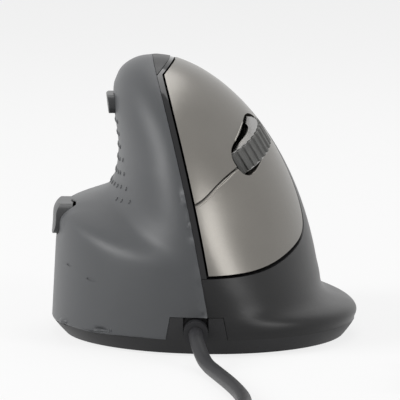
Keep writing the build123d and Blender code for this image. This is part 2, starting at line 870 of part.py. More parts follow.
def wheel_encoder():
    half = encoder_size / 2
    sides = (-half_carrier - encoder_wide, -half_carrier)
    encoder = local_box((-half, half), sides, (-half, half - encoder_sunk))
    return encoder - local_cross_pin(0, 0, -far, far, axle_radius + bore_gap)


def micro_switch(along, across):
    """A micro switch on the upright board, with a pocket for its plunger."""
    ends = along - micro_long / 2, along + micro_long / 2
    sides = across - micro_wide / 2, across + micro_wide / 2
    switch = local_box(ends, sides, (-board_drop, micro_top))
    return switch - micro_plunger_shape(along, across, running_gap, micro_travel)


def micro_plunger_shape(along, across, grow, deeper):
    half = micro_plunger_wide / 2 + grow
    span = (micro_top - plunger_sunk - deeper, micro_top + micro_plunger_rise)
    return local_box((along - half, along + half), (across - half, across + half), span)


def micro_plunger(along, across):
    return micro_plunger_shape(along, across, 0, 0)


def tact_switch(place):
    """A small square switch, upright at a place, with a pocket for its plunger."""
    switch = box_between((-tact_size / 2, -tact_size / 2, 0), (tact_size / 2, tact_size / 2, tact_tall))
    pocket_low = tact_tall - plunger_sunk - micro_travel
    switch -= column(0, 0, pocket_low, far, tact_plunger_radius + running_gap)
    return place * switch


def tact_plunger(place):
    low = tact_tall - plunger_sunk
    return place * column(0, 0, low, tact_tall + tact_plunger_rise, tact_plunger_radius)


def upright_board():
    """The board that stands behind the finger buttons, with a slot for the wheel."""
    top = -board_drop
    span = (top - board_thick, top)
    board = local_box((-board_front, board_ear_front), (-board_low, board_high), span)
    board += local_box((board_ear_front, board_back), (-board_low, board_ear_high), span)
    half_long, half_wide = board_slot_long / 2, board_slot_wide / 2
    board -= local_box((-half_long, half_long), (-half_wide, half_wide), (-far, far))
    for along, across in frame_boss_places:
        board -= local_column(along, across, -far, far, screw_radius + running_gap)
    return board


def frame_screws():
    """Screws from behind the upright board into the frame's bosses."""
    screws = Part()
    under = -board_drop - board_thick
    for along, across in frame_boss_places:
        end = frame_screw_long - board_drop - seat_gap
        screws += local_column(along, across, under, end, screw_radius)
        screws += local_column(along, across, under - screw_head_tall, under, screw_head_radius)
    return screws


def thumb_board(y, z, inner_face, long):
    """A thumb switch's board, held on the two posts of the shell."""
    face = thumb_board_face(inner_face)
    half = thumb_post_reach(long) + thumb_boss_radius
    half_tall = thumb_board_tall / 2
    return box_between((face, y - half, z - half_tall), (face + board_thick, y + half, z + half_tall))


def main_board():
    high = main_board_height + board_thick
    low_corner = main_board_left, main_board_front, main_board_height
    board = box_between(low_corner, (main_board_right, main_board_back, high))
    board = fillet(board.edges().filter_by(Axis.Z), main_board_corner)
    for x, y in board_post_places:
        board -= column(x, y, 0, far, screw_radius + running_gap)
    return board - column(sensor_x, sensor_y, 0, far, lens_eye_radius + running_gap)


def on_board(x, y, long, wide, tall):
    top = main_board_height + board_thick
    return box_between((x - long / 2, y - wide / 2, top), (x + long / 2, y + wide / 2, top + tall))


def sensor_lens():
    """The clear lens between the board and the window in the base, with its eye."""
    low = foot_thick + base_floor
    half_long, half_wide = lens_long / 2, lens_wide / 2
    lens = box_between(
        (sensor_x - half_wide, sensor_y - half_long, low),
        (sensor_x + half_wide, sensor_y + half_long, main_board_height - seat_gap))
    eye_top = main_board_height + board_thick - seat_gap
    lens += column(sensor_x, sensor_y, foot_thick + overrun, eye_top, lens_eye_radius)
    return lens


def base_screws():
    screws = Part()
    for x, y in thumb_screw_places + finger_screw_places:
        low = foot_thick + seat_gap
        screws += column(x, y, low, low + base_screw_head_tall, base_screw_head_radius)
        screws += column(x, y, low, base_pad_top + base_screw_long - seat_gap, base_screw_radius)
    return screws


def board_screws():
    screws = Part()
    top = main_board_height + board_thick
    for x, y in board_post_places:
        screws += column(x, y, foot_thick + base_floor + seat_gap, top, screw_radius)
        screws += column(x, y, top, top + screw_head_tall, screw_head_radius)
    return screws


def glide_feet():
    """Flat pads under the base, their corners rounded."""
    feet = Part()
    for x, y, long in foot_places:
        outline = SlotOverall(long, foot_wide)
        feet += Pos(x, y) * extrude(outline, foot_thick)
    return feet


def board_link():
    """The sheathed wires between the two boards, socket to socket."""
    top_start = wheel_frame * Pos(link_along, link_across, -board_drop - board_thick - link_socket_tall)
    start = top_start.position
    lower = Vector(link_foot_x, link_foot_y, main_board_height + board_thick + link_socket_tall)
    points = [start, start - out_way * link_run, lower + Vector(0, 0, link_rise), lower]
    return tube(points, link_radius)[0]


def link_sockets():
    """The two sockets that the link plugs into."""
    half = link_socket / 2
    under = -board_drop - board_thick
    upper = local_box(
        (link_along - half, link_along + half), (link_across - half, link_across + half),
        (under - link_socket_tall, under))
    lower = on_board(link_foot_x, link_foot_y, link_socket, link_socket, link_socket_tall)
    return upper + lower


def cord_lead():
    """The cord from the strain relief to the coil."""
    start = (cord_x, cord_end_y, cord_height)
    end = (coil_x - coil_radius, coil_y + 2 * cord_radius, cord_lies)
    return tube([start] + lead_points + [end], cord_radius)


def coil_path():
    """Two layers of half turns that spiral in and out again, with the climb between them."""
    stations = []
    last = 2 * coil_half_turns + 1
    for k in range(last + 1):
        turns = min(k, last - k)
        radius = coil_radius - turns * coil_pitch / 2
        side = 1 if k % 2 else -1
        high = cord_lies + (coil_climb if k > coil_half_turns else 0)
        stations.append((Vector(coil_x + side * radius, coil_y, high), Vector(0, side, 0)))
    first, way = stations[0]
    edges = [Line(first - way * 2 * cord_radius, first)]
    for (start, start_way), (end, end_way) in zip(stations, stations[1:]):
        reach = (end - start).length / 2
        middle = (start + end) / 2 + start_way * reach
        edges.append(TangentArc(start, middle, tangent=start_way))
        edges.append(TangentArc(middle, end, tangent=end - start))
    final, way = stations[-1]
    edges.append(Line(final, final + way * 2 * cord_radius))
    return edges


def cord_coil():
    edges = coil_path()
    path = Wire(edges)
    start = Plane(origin=edges[0] @ 0, z_dir=edges[0] % 0)
    coil = sweep(start * Circle(cord_radius), path=path)
    points = []
    run = 0
    for edge in edges:
        steps = range(gap_steps)
        points += [(edge @ (i / gap_steps), run + edge.length * i / gap_steps) for i in steps]
        run += edge.length
    apart = coil_radius - coil_half_turns * coil_pitch / 2
    gaps = [
        (a - b).length - 2 * cord_radius
        for i, (a, run_a) in enumerate(points) for b, run_b in points[i + 1:] if run_b - run_a > apart]
    print("coil: length", round(run, 1), "least gap to itself", round(min(gaps), 3), "wanted", gap_wanted)
    return coil, path


def cord_tail():
    """The cord from the coil to its plug."""
    start = (coil_x + coil_radius, coil_y + 2 * cord_radius, cord_lies + coil_climb)
    return tube([start] + tail_points, cord_radius)


def plug_box(long, wide, tall, forward=0):
    x, y, z = tail_points[-1]
    low = x - wide / 2, y + forward, z - tall / 2
    high = x + wide / 2, y + forward + long, z + tall / 2
    return box_between(low, high)


def plug_overmould():
    """The grip of the plug, with the tapered nose that the cord enters."""
    x, y, z = tail_points[-1]
    grip = plug_box(overmould_long, overmould_wide, overmould_tall, nose_long)
    grip = fillet(grip.edges().filter_by(Axis.Y), overmould_corner)
    nose = Rot(X=-right_angle) * Cone(nose_end_radius, nose_radius, nose_long)
    return grip + Pos(x, y + nose_long / 2, z) * nose


def plug_shell():
    start = nose_long + overmould_long
    shell = plug_box(plug_long, plug_wide, plug_tall, start)
    hollow = plug_box(plug_long, plug_wide - 2 * plug_wall, plug_tall - 2 * plug_wall, start)
    return shell - hollow


def plug_tongue():
    tongue = plug_box(plug_long - overrun, tongue_wide, tongue_tall, nose_long + overmould_long)
    return Pos(0, 0, tongue_rise) * tongue


def thumb_switch_place(inner_face, y, z):
    """A thumb switch stands on its board and faces outward."""
    face = thumb_board_face(inner_face)
    return Pos(face, y, z) * Rot(Y=-right_angle)


upper_thumb_place = thumb_switch_place(upper_thumb_inner, upper_thumb_y, upper_thumb_z)
lower_thumb_switch_z = lower_thumb_z - lower_flange_drop
lower_thumb_place = thumb_switch_place(lower_thumb_inner, lower_thumb_y, lower_thumb_switch_z)
click_place = wheel_frame.location * Pos(click_switch_along, 0, -board_drop)

lead, lead_path, lead_radii = cord_lead()
coil, coil_line = cord_coil()
tail, tail_path, tail_radii = cord_tail()

pieces = {
    "base": base(),
    "thumb_shell": thumb_shell(),
    "finger_shell": finger_shell(),
    "button_frame": button_frame(),
    "upper_button": upper_button(),
    "lower_button": lower_button(),
    "upper_thumb_button": upper_thumb_button(),
    "lower_thumb_button": lower_thumb_button(),
    "scroll_tyre": scroll_tyre(),
    "scroll_hub": scroll_hub(),
    "wheel_carrier": wheel_carrier(),
    "carrier_bracket": carrier_bracket(),
    "wheel_encoder": wheel_encoder(),
    "wheel_click_switch": tact_switch(click_place),
    "wheel_click_plunger": tact_plunger(click_place),
    "upper_switch": micro_switch(*upper_switch_place),
    "upper_plunger": micro_plunger(*upper_switch_place),
    "lower_switch": micro_switch(*lower_switch_place),
    "lower_plunger": micro_plunger(*lower_switch_place),
    "upper_thumb_switch": tact_switch(upper_thumb_place),
    "upper_thumb_plunger": tact_plunger(upper_thumb_place),
    "lower_thumb_switch": tact_switch(lower_thumb_place),
    "lower_thumb_plunger": tact_plunger(lower_thumb_place),
    "upright_board": upright_board(),
    "frame_screws": frame_screws(),
    "upper_thumb_board": thumb_board(upper_thumb_y, upper_thumb_z, upper_thumb_inner, upper_thumb_long),
    "lower_thumb_board": thumb_board(
        lower_thumb_y, lower_thumb_switch_z, lower_thumb_inner, lower_thumb_long),
    "main_board": main_board(),
    "controller_chip": on_board(chip_x, chip_y, chip_size, chip_size, chip_tall),
    "sensor_chip": on_board(sensor_x, sensor_y, sensor_wide, sensor_long, sensor_tall),
    "sensor_lens": sensor_lens(),
    "cord_header": on_board(cord_x, (header_front + header_back) / 2, header_wide, header_long, header_tall),
    "link_sockets": link_sockets(),
    "board_link": board_link(),
    "base_screws": base_screws(),
    "board_screws": board_screws(),
    "glide_feet": glide_feet(),
    "cord_grommet": cord_grommet(),
    "cord_core": cord_core(),
    "cord_lead": lead,
    "cord_coil": coil,
    "cord_tail": tail,
    "plug_overmould": plug_overmould(),
    "plug_shell": plug_shell(),
    "plug_tongue": plug_tongue(),
}

os.makedirs("parts", exist_ok=True)
for name, piece in pieces.items():
    export_step(piece, f"parts/{name}.step")

section_area = math.pi * cord_radius ** 2
for name, solid, line in (
        ("lead", lead, lead_path), ("coil", coil, coil_line), ("tail", tail, tail_path)):
    print(name, "length", round(line.length, 1), "volume to section", round(solid.volume / section_area, 1))
print("lead radii", [round(r, 1) for r in lead_radii], "tail radii", [round(r, 1) for r in tail_radii])
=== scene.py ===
"""Dresses a left-handed vertical mouse: its finishes, cord, grip dots, edge lips and plug."""

import math

import bmesh
import bpy
import numpy as np
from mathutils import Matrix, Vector
from mathutils.bvhtree import BVHTree


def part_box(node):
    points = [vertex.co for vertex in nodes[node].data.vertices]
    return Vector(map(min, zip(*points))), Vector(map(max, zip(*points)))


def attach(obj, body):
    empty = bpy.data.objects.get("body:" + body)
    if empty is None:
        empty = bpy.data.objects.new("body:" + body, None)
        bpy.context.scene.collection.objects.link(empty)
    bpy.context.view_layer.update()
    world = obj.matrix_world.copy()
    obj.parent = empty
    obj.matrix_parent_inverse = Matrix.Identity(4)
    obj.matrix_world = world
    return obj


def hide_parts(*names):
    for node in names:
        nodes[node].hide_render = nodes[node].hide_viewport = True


bl_info = {
    "name": "Vertical mouse",
    "version": (1, 0, 0),
    "blender": (4, 5, 0),
    "location": "View3D > Sidebar > Mouse",
    "description": "Finishes, cord, grip dots, edge lips and studio for a vertical mouse",
    "category": "Object",
}

MM = 0.001

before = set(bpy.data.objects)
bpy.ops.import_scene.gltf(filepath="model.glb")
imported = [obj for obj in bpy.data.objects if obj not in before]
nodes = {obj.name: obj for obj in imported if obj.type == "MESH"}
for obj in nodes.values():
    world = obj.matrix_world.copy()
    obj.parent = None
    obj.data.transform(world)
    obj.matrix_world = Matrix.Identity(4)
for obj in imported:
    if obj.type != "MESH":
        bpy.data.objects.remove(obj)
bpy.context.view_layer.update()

# The cord's route in millimetres: the lead on the desk, the coil and the tail to the plug
LEAD = [
    (-2.2, -55.6, 6.6), (-2.2, -61.0, 6.6), (-1.2, -67.5, 4.4), (0.4, -75.5, 2.2), (3.4, -88.0, 1.95),
    (6.8, -104.0, 1.95), (9.6, -122.0, 1.95), (9.4, -140.0, 1.95), (2.4, -156.0, 1.95),
    (-5.0, -170.0, 1.95), (-7.6, -180.0, 1.95), (-7.6, -188.0, 1.95)]
TAIL = [
    (57.8, -187.0, 6.35), (57.8, -178.0, 6.25), (59.0, -165.0, 4.6), (61.5, -149.0, 3.95),
    (62.5, -132.0, 3.95), (62.5, -120.5, 3.95)]
COIL_PLACE = (25.1, -193.0)
COIL_RADIUS = 32.7
COIL_PITCH = 5.05
COIL_LOW = 1.95
COIL_CLIMB = 4.4
COIL_HALF_TURNS = 9

# The wheel's frame: where it is, along its axle and out of the case
WHEEL_PLACE = np.array((5.8, -19.3, 49.8))
AXLE_WAY = np.array((0.475, 0.28, -0.835))
OUT_WAY = np.array((0.868, -0.305, 0.39))
SLOT_OUTLINE = [
    (15.0, 0.19), (12.48, 2.73), (9.48, 3.97), (3.0, 4.09), (-3.96, 4.15), (-9.6, 4.09), (-12.0, 2.85),
    (-13.4, 0.62), (-13.6, -1.8), (-12.4, -3.35), (-9.48, -4.15), (-3.0, -4.59), (3.96, -4.9),
    (11.0, -4.28), (15.6, -2.6)]

# The seam between the buttons in the side view, from the strip to the wheel's slot
SEAM_LINE = [(-47.5, 37.2), (-46.24, 38.37), (-41.49, 42.57), (-35.82, 45.87), (-33.6, 46.72)]

# The form's own sizes in millimetres, as the shells were drawn from them
TALL = 75.0
CROWN = (-12.9, -4.0)
REACH = {"finger": 45.0, "thumb": 12.6, "front": 48.0, "back": 56.0}
# Each side's dome is reach x (1 - share of height ^ first) ^ second
DOME = {"finger": (2.1, 0.588), "thumb": (17, 0.5), "front": (2.3, 0.5), "back": (1.75, 0.62)}
SHELF = {"reach": 14.0, "height": 36.7, "soft": 1.9, "drop": 12.0, "crest": 46.0, "swell": 0.055}
WAIST = {"depth": 2.3, "height": 50.0, "spread": 11.0, "from": 38.0, "full": 44.0}
# The foot draws in below a height, by this much on each side
FOOT = {"height": 4.8, "deep": 4.2, "power": 1.2, "thumb": 3.8, "finger": 3.1, "front": 1.0, "back": 3.0}
FINGER_LIP = {"reach": 8.85, "height": 8.0, "soft": 1.82, "power": 2.55}
FRONT_RIDGE = {"foot": 2.15, "lean": 9.44, "bend": 6.7, "beside": 1.2}
BACK_RIDGE = {"height": 30.0, "shift": 2.0}
RIDGE_SHARES = (0.3, 0.7)
# Where a side is widest: how far before the crown, and the heights between which that fades
WIDEST = {"finger": (7.0, 2.0, 26.0), "thumb": (4.0, 30.0, 42.0)}
# The outline's points: on the back from a turn in radians, on the thumb's back and on its front
BACK_TURN = 1.1
OUTLINE_POINTS = {"back": 40, "thumb_back": 160, "thumb_front": 240}

# The grid on which the thumb skin's shift is found: turns in degrees, heights in millimetres
SKIN_MIDDLE = (-6.0, -5.0)
SKIN_TURNS = (60, 290, 461)
SKIN_HEIGHTS = (4.35, 62.35, 291)
RAY_START = 90
MOST_SHIFT = 2.6
FILL_PASSES = 60
SKIN_THICK = 0.12
SHIFT_DEPTHS = (4, 14)
SHIFT_FADE = (52, 60)

# The lower thumb button's hole, which the skin leaves as it is: its middle and half sizes
THUMB_HOLE = ((-6.0, 31.4), (12.3, 4.3))
HOLE_EASE = (0.6, 5)
HOLE_SIDE = -25

# The wall behind the skin: its heights, the outline's points that it follows and how far it lies in
BACKING = {"low": 7.5, "high": 25.5, "levels": 37, "span": slice(212, 400, 3), "under": 0.16, "deep": 0.9}

# The plug's grip: radii in metres, and places as shares of its length
NOSE_RADIUS = 0.0025
NOSE_SWELL = 0.0008
NOSE_SHARE = 0.27
STEP_SHARE = 0.24
STEP_LONG = 0.09
END_SHARE = 0.045
END_DEPTH = 0.12
GRIP_SQUARE = 2.6
GROOVE_SHARES = (0.5, 0.58, 0.66)
GROOVE_WIDE = 0.012
GROOVE_DEEP = 0.00035

# The studio: the floor's reach, each lamp's place and size, and the camera
FLOOR_REACH = 6.0
LAMPS = {
    "left_lamp": ((-0.95, -0.28, 0.55), 0.55),
    "right_lamp": ((0.80, -0.62, 0.50), 0.45),
    "top_lamp": ((0.10, 0.35, 0.95), 0.60)}
LAMP_AIM = (0, 0, 0.035)
CAMERA = {"lens": 296.5, "sensor": 36, "far": 0.9, "elevation": math.radians(7), "x": -0.0011, "z": 0.0346}

# Rows of grip dots on the thumb's side: height, place of the first dot and how many follow
DOT_ROWS = [
    (57.4, -13.7, 7), (54.1, -13.6, 8), (50.8, -15.1, 9), (47.5, -15.1, 9), (44.0, -14.7, 10),
    (40.8, -14.9, 10)]
DOT_EXTRAS = [
    (-20.2, 47.8), (-17.9, 44.2), (-22.7, 44.4), (-18.6, 40.7), (-21.8, 40.8), (-26.2, 40.8),
    (-23.5, 37.8), (-26.7, 37.7), (-30.9, 37.9)]


class MouseSizes(bpy.types.PropertyGroup):
    cord_diameter: bpy.props.FloatProperty(
        name="Cord diameter", description="Thickness of the cord", default=0.0037, unit="LENGTH")
    dot_radius: bpy.props.FloatProperty(
        name="Dot radius", description="Radius of a grip dot", default=0.00062, unit="LENGTH")
    dot_rise: bpy.props.FloatProperty(
        name="Dot rise", description="How far a grip dot stands out", default=0.00028, unit="LENGTH")
    dot_step: bpy.props.FloatProperty(
        name="Dot step", description="From dot to dot along a row", default=0.0039, unit="LENGTH")
    lip_radius: bpy.props.FloatProperty(
        name="Lip radius", description="Radius of the rounded lip along an edge", default=0.00022,
        unit="LENGTH")


class MouseColours(bpy.types.PropertyGroup):
    thumb: bpy.props.FloatVectorProperty(
        name="Thumb shell", description="Soft-touch side under the thumb", subtype="COLOR",
        default=(0.070, 0.073, 0.077))
    panel: bpy.props.FloatVectorProperty(
        name="Buttons", description="Metallic finger buttons", subtype="COLOR",
        default=(0.185, 0.175, 0.158))
    shell: bpy.props.FloatVectorProperty(
        name="Finger shell", description="Satin black side", subtype="COLOR", default=(0.014, 0.014, 0.0145))
    strip: bpy.props.FloatVectorProperty(
        name="Strip", description="Glossy strip down the front", subtype="COLOR",
        default=(0.006, 0.006, 0.007))
    base: bpy.props.FloatVectorProperty(
        name="Base", description="Matt base", subtype="COLOR", default=(0.020, 0.020, 0.021))
    tyre: bpy.props.FloatVectorProperty(
        name="Wheel tyre", description="Grey rubber of the wheel", subtype="COLOR",
        default=(0.135, 0.135, 0.13))
    cord: bpy.props.FloatVectorProperty(
        name="Cord", description="Sheath of the cord", subtype="COLOR", default=(0.024, 0.024, 0.026))


class StageSettings(bpy.types.PropertyGroup):
    key: bpy.props.FloatProperty(
        name="Left lamp", description="Power of the left lamp", default=8.0, unit="POWER")
    fill: bpy.props.FloatProperty(
        name="Right lamp", description="Power of the right lamp", default=3.0, unit="POWER")
    top: bpy.props.FloatProperty(
        name="Top lamp", description="Power of the top lamp", default=3.0, unit="POWER")
    world: bpy.props.FloatProperty(
        name="World", description="Strength of the surrounding light", default=0.3)


class Value:
    """A shader socket that takes part in sums like a number."""

    def __init__(self, finish, socket):
        self.finish = finish
        self.socket = socket

    def maths(self, operation, *others):
        return self.finish.maths(operation, self, *others)

    def __add__(self, other):
        return self.maths("ADD", other)

    __radd__ = __add__

    def __sub__(self, other):
        return self.maths("SUBTRACT", other)

    def __rsub__(self, other):
        return self.finish.maths("SUBTRACT", other, self)

    def __mul__(self, other):
        return self.maths("MULTIPLY", other)

    __rmul__ = __mul__

    def __truediv__(self, other):
        return self.maths("DIVIDE", other)

    def __abs__(self):
        return self.maths("ABSOLUTE")

    def above(self, edge, soft):
        """0 below an edge and 1 above it, with a soft step between."""
        step = self.maths("SUBTRACT", edge - soft / 2) / soft
        return step.maths("MAXIMUM", 0).maths("MINIMUM", 1)

    def below(self, edge, soft):
        return 1 - self.above(edge, soft)


class Finish:
    """One material: its shader, and the nodes that vary it over the surface."""

    def __init__(self, name, **numbers):
        self.material = bpy.data.materials.new(name)
        self.material.use_nodes = True
        self.tree = self.material.node_tree
        self.tree.nodes.clear()
        self.shader = self.node("ShaderNodeBsdfPrincipled")
        output = self.node("ShaderNodeOutputMaterial")
        self.tree.links.new(self.shader.outputs[0], output.inputs[0])
        coordinates = self.node("ShaderNodeTexCoord")
        self.place = coordinates.outputs["Object"]
        for socket, number in numbers.items():
            self.shader.inputs[socket.replace("_", " ")].default_value = number

    def node(self, kind, settings=None, inputs=None):
        made = self.tree.nodes.new(kind)
        for name, value in (settings or {}).items():
            setattr(made, name, value)
        for name, value in (inputs or {}).items():
            self.feed(made.inputs[name], value)
        return made

    def feed(self, socket, value):
        if isinstance(value, Value):
            self.tree.links.new(value.socket, socket)
        elif isinstance(value, bpy.types.NodeSocket):
            self.tree.links.new(value, socket)
        else:
            socket.default_value = value

    def maths(self, operation, *values):
        made = self.node("ShaderNodeMath", {"operation": operation})
        for socket, value in zip(made.inputs, values):
            self.feed(socket, value)
        return Value(self, made.outputs[0])

    def axis(self, name):
        split = self.node("ShaderNodeSeparateXYZ", None, {"Vector": self.place})
        return Value(self, split.outputs[name])

    def noise(self, size, detail=2.0, stretch=(1, 1, 1)):
        """Cloudy variation with blobs of a size in metres, drawn out along each axis by a factor."""
        mapping = self.node(
            "ShaderNodeMapping", None, {"Vector": self.place, "Scale": [1 / (size * s) for s in stretch]})
        made = self.node(
            "ShaderNodeTexNoise", None, {"Vector": mapping.outputs[0], "Scale": 1.0, "Detail": detail})
        return Value(self, made.outputs["Fac"])

    def cells(self, size, feature="DISTANCE_TO_EDGE"):
        mapping = self.node("ShaderNodeMapping", None, {"Vector": self.place, "Scale": [1 / size] * 3})
        made = self.node(
            "ShaderNodeTexVoronoi", {"feature": feature}, {"Vector": mapping.outputs[0], "Scale": 1.0})
        return Value(self, made.outputs["Distance"])

    def blend(self, factor, first, second):
        """A colour between two, each a colour or a socket."""
        made = self.node("ShaderNodeMix", {"data_type": "RGBA"})
        for index, value in ((0, factor), (6, first), (7, second)):
            if isinstance(value, tuple):
                value = (*value, 1)
            self.feed(made.inputs[index], value)
        return made.outputs[2]

    def colour(self, value):
        self.feed(self.shader.inputs["Base Color"], (*value, 1) if isinstance(value, tuple) else value)

    def rough(self, value):
        self.feed(self.shader.inputs["Roughness"], value)

    def bump(self, height, depth):
        """Relief of a depth in metres."""
        made = self.node("ShaderNodeBump", None, {"Height": height, "Distance": depth, "Strength": 1.0})
        self.feed(self.shader.inputs["Normal"], made.outputs[0])


def shade(colour, factor):
    """A colour made lighter or darker alike in all three parts."""
    return tuple(part * factor for part in colour)


def give(finish, *names):
    """Puts a finish on nodes of the model or on new pieces."""
    for name in names:
        piece = nodes[name] if isinstance(name, str) else name
        piece.data.materials.clear()
        piece.data.materials.append(finish.material)


def unit(ways):
    return ways / np.linalg.norm(ways, axis=-1, keepdims=True)


def wheel_axes():
    """The wheel's own axes as rows: along the slot, across it and out of the case."""
    axle, out = unit(AXLE_WAY), OUT_WAY
    out = unit(out - axle * out.dot(axle))
    return np.array((np.cross(out, axle), -axle, out))


def surface_tree(*names):
    """One search tree over the faces of some nodes."""
    corners, faces = [], []
    for name in names:
        mesh = (nodes[name] if name in nodes else bpy.data.objects[name]).data
        mesh.calc_loop_triangles()
        start = len(corners)
        corners += [vertex.co.copy() for vertex in mesh.vertices]
        faces += [[start + i for i in triangle.vertices] for triangle in mesh.loop_triangles]
    return BVHTree.FromPolygons(corners, faces)


def cast(tree, starts, way):
    """Where rays in one direction meet a surface: their places, normals and which of them meet it."""
    way = Vector(way).normalized()
    hits = [tree.ray_cast(Vector(start), way) for start in starts]
    met = np.array([hit[0] is not None for hit in hits])
    places = np.array([hit[0] if hit[0] is not None else (0, 0, 0) for hit in hits], float)
    normals = np.array([hit[1] if hit[1] is not None else (0, 0, 1) for hit in hits], float)
    flip = np.sign(-(normals @ np.array(way)))
    return places, normals * np.where(flip == 0, 1, flip)[:, None], met


def ring_faces(rows, columns, flip=False):
    """Quads of a grid of points that is numbered row by row, with each row closed to a ring."""
    row = np.arange(rows - 1)[:, None]
    column = np.arange(columns)[None, :]
    next_row, next_column = row + 1, (column + 1) % columns
    corners = [row * columns + column, row * columns + next_column,
               next_row * columns + next_column, next_row * columns + column]
    faces = np.stack([np.broadcast_to(c, (row.size, column.size)) for c in corners], axis=-1).reshape(-1, 4)
    return faces[:, ::-1] if flip else faces


def new_piece(name, points, faces, finish, body):
    """A mesh piece in metres that rides on a body."""
    mesh = bpy.data.meshes.new(name)
    mesh.from_pydata(points.reshape(-1, 3).tolist(), [], [list(face) for face in faces])
    mesh.update()
    mesh.validate()
    mesh.polygons.foreach_set("use_smooth", np.ones(len(mesh.polygons), bool))
    piece = bpy.data.objects.new(name, mesh)
    bpy.context.scene.collection.objects.link(piece)
    give(finish, piece)
    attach(piece, body)
    return piece


def soft_touch(name, colour, roughness=0.44):
    """Soft-touch paint: a velvety fine grain, cloudy by a trace, a little smoother where it is worn."""
    finish = Finish(name, Sheen_Weight=0.12, Sheen_Roughness=0.4, Specular_IOR_Level=0.38)
    cloud = finish.noise(0.014, 3)
    grain = finish.noise(0.00016, 2)
    finish.colour(finish.blend(cloud * 0.5 + grain * 0.35, shade(colour, 0.86), shade(colour, 1.16)))
    finish.rough(roughness + (cloud - 0.5) * 0.08 + (grain - 0.5) * 0.06)
    finish.bump(grain, 0.000012)
    return finish


def satin_plastic(name, colour, roughness=0.36, grain_size=0.00022, depth=0.00001):
    """Moulded plastic with a fine spark-eroded texture."""
    finish = Finish(name, Specular_IOR_Level=0.28)
    grain = finish.noise(grain_size, 3)
    cloud = finish.noise(0.01, 2)
    finish.colour(finish.blend(grain * 0.6 + cloud * 0.3, shade(colour, 0.8), shade(colour, 1.25)))
    finish.rough(roughness + (cloud - 0.5) * 0.07 + (grain - 0.5) * 0.05)
    finish.bump(grain, depth)
    return finish


def metallic_paint(name, colour):
    """Grey metallic paint: fine bright flakes under a satin clear coat."""
    finish = Finish(name, Metallic=0.72, Specular_IOR_Level=0.5, Coat_Weight=0.18, Coat_Roughness=0.22)
    flake = finish.cells(0.00011, "F1")
    cloud = finish.noise(0.012, 2)
    spark = flake.below(0.35, 0.3) * 0.45 + cloud * 0.25
    finish.colour(finish.blend(spark, shade(colour, 0.86), shade(colour, 1.3)))
    finish.rough(0.33 + (flake - 0.5) * 0.07 + (cloud - 0.5) * 0.05)
    finish.bump(flake, 0.000003)
    return finish


def gloss_plastic(name, colour):
    """Polished plastic, with the faint ripple of a moulding and the lightest scuffs."""
    finish = Finish(name, Specular_IOR_Level=0.3, Coat_Weight=0.12, Coat_Roughness=0.08)
    ripple = finish.noise(0.006, 1)
    scuff = finish.noise(0.0012, 4, (1, 1, 0.2))
    finish.colour(finish.blend(ripple, shade(colour, 0.8), shade(colour, 1.3)))
    finish.rough(0.10 + scuff.above(0.6, 0.25) * 0.08)
    finish.bump(ripple, 0.00001)
    return finish


def ribbed_rubber(name, colour):
    """Matt rubber, paler where fingers have dulled it."""
    finish = Finish(name, Specular_IOR_Level=0.35, Sheen_Weight=0.1)
    grain = finish.noise(0.0003, 4)
    dust = finish.noise(0.0022, 3)
    finish.colour(finish.blend(dust * 0.6 + grain * 0.4, shade(colour, 0.72), shade(colour, 1.3)))
    finish.rough(0.58 + (grain - 0.5) * 0.16)
    finish.bump(grain, 0.00002)
    return finish


def bright_metal(name, colour, roughness=0.2):
    """Turned metal, with fine rings of the lathe seen as streaks in its shine."""
    finish = Finish(name, Metallic=1.0)
    streak = finish.noise(0.0006, 4, (1, 1, 0.12))
    finish.colour(finish.blend(streak, shade(colour, 0.85), shade(colour, 1.08)))
    finish.rough(roughness + (streak - 0.5) * 0.12)
    finish.bump(streak, 0.000004)
    return finish


def circuit_board(name, colour):
    """Green board with a net of lighter tracks under the lacquer."""
    finish = Finish(name, Specular_IOR_Level=0.5)
    cells = finish.cells(0.0016)
    track = cells.below(0.05, 0.03)
    finish.colour(finish.blend(track, colour, (0.09, 0.30, 0.14)))
    finish.rough(0.34 + track * 0.1)
    finish.bump(track, 0.00003)
    return finish


def ease(low, high, value):
    """0 up to a low value, 1 from a high one, and 3s^2 - 2s^3 between."""
    step = np.clip((value - low) / (high - low), 0, 1)
    return step * step * (3 - 2 * step)


def dome(side, z):
    """How far a side reaches at a height: reach x (1 - share of height ^ first) ^ second."""
    narrow, full = DOME[side]
    return REACH[side] * (1 - np.clip(z / TALL, 0, 1) ** narrow) ** full


def widest(side, z):
    """Where a side is widest: a distance before the crown that fades out between two heights."""
    ahead, low, high = WIDEST[side]
    return CROWN[1] - ahead * (1 - ease(low, high, z))


def thumb_limit(z):
    """How far the form goes on the thumb's side: a dome, a bell-shaped waist, and a shelf that comes in
    as (1 - tanh) / 2 of the height."""
    waist = WAIST["depth"] * np.exp(-(((z - WAIST["height"]) / WAIST["spread"]) ** 2))
    waist = waist * ease(WAIST["from"], WAIST["full"], z)
    shelf = (1 - np.tanh((z - SHELF["height"]) / SHELF["soft"])) / 2
    swell = SHELF["reach"] + SHELF["swell"] * np.maximum(SHELF["height"] - z, 0)
    return CROWN[0] - dome("thumb", z) + waist - shelf * (swell - waist)


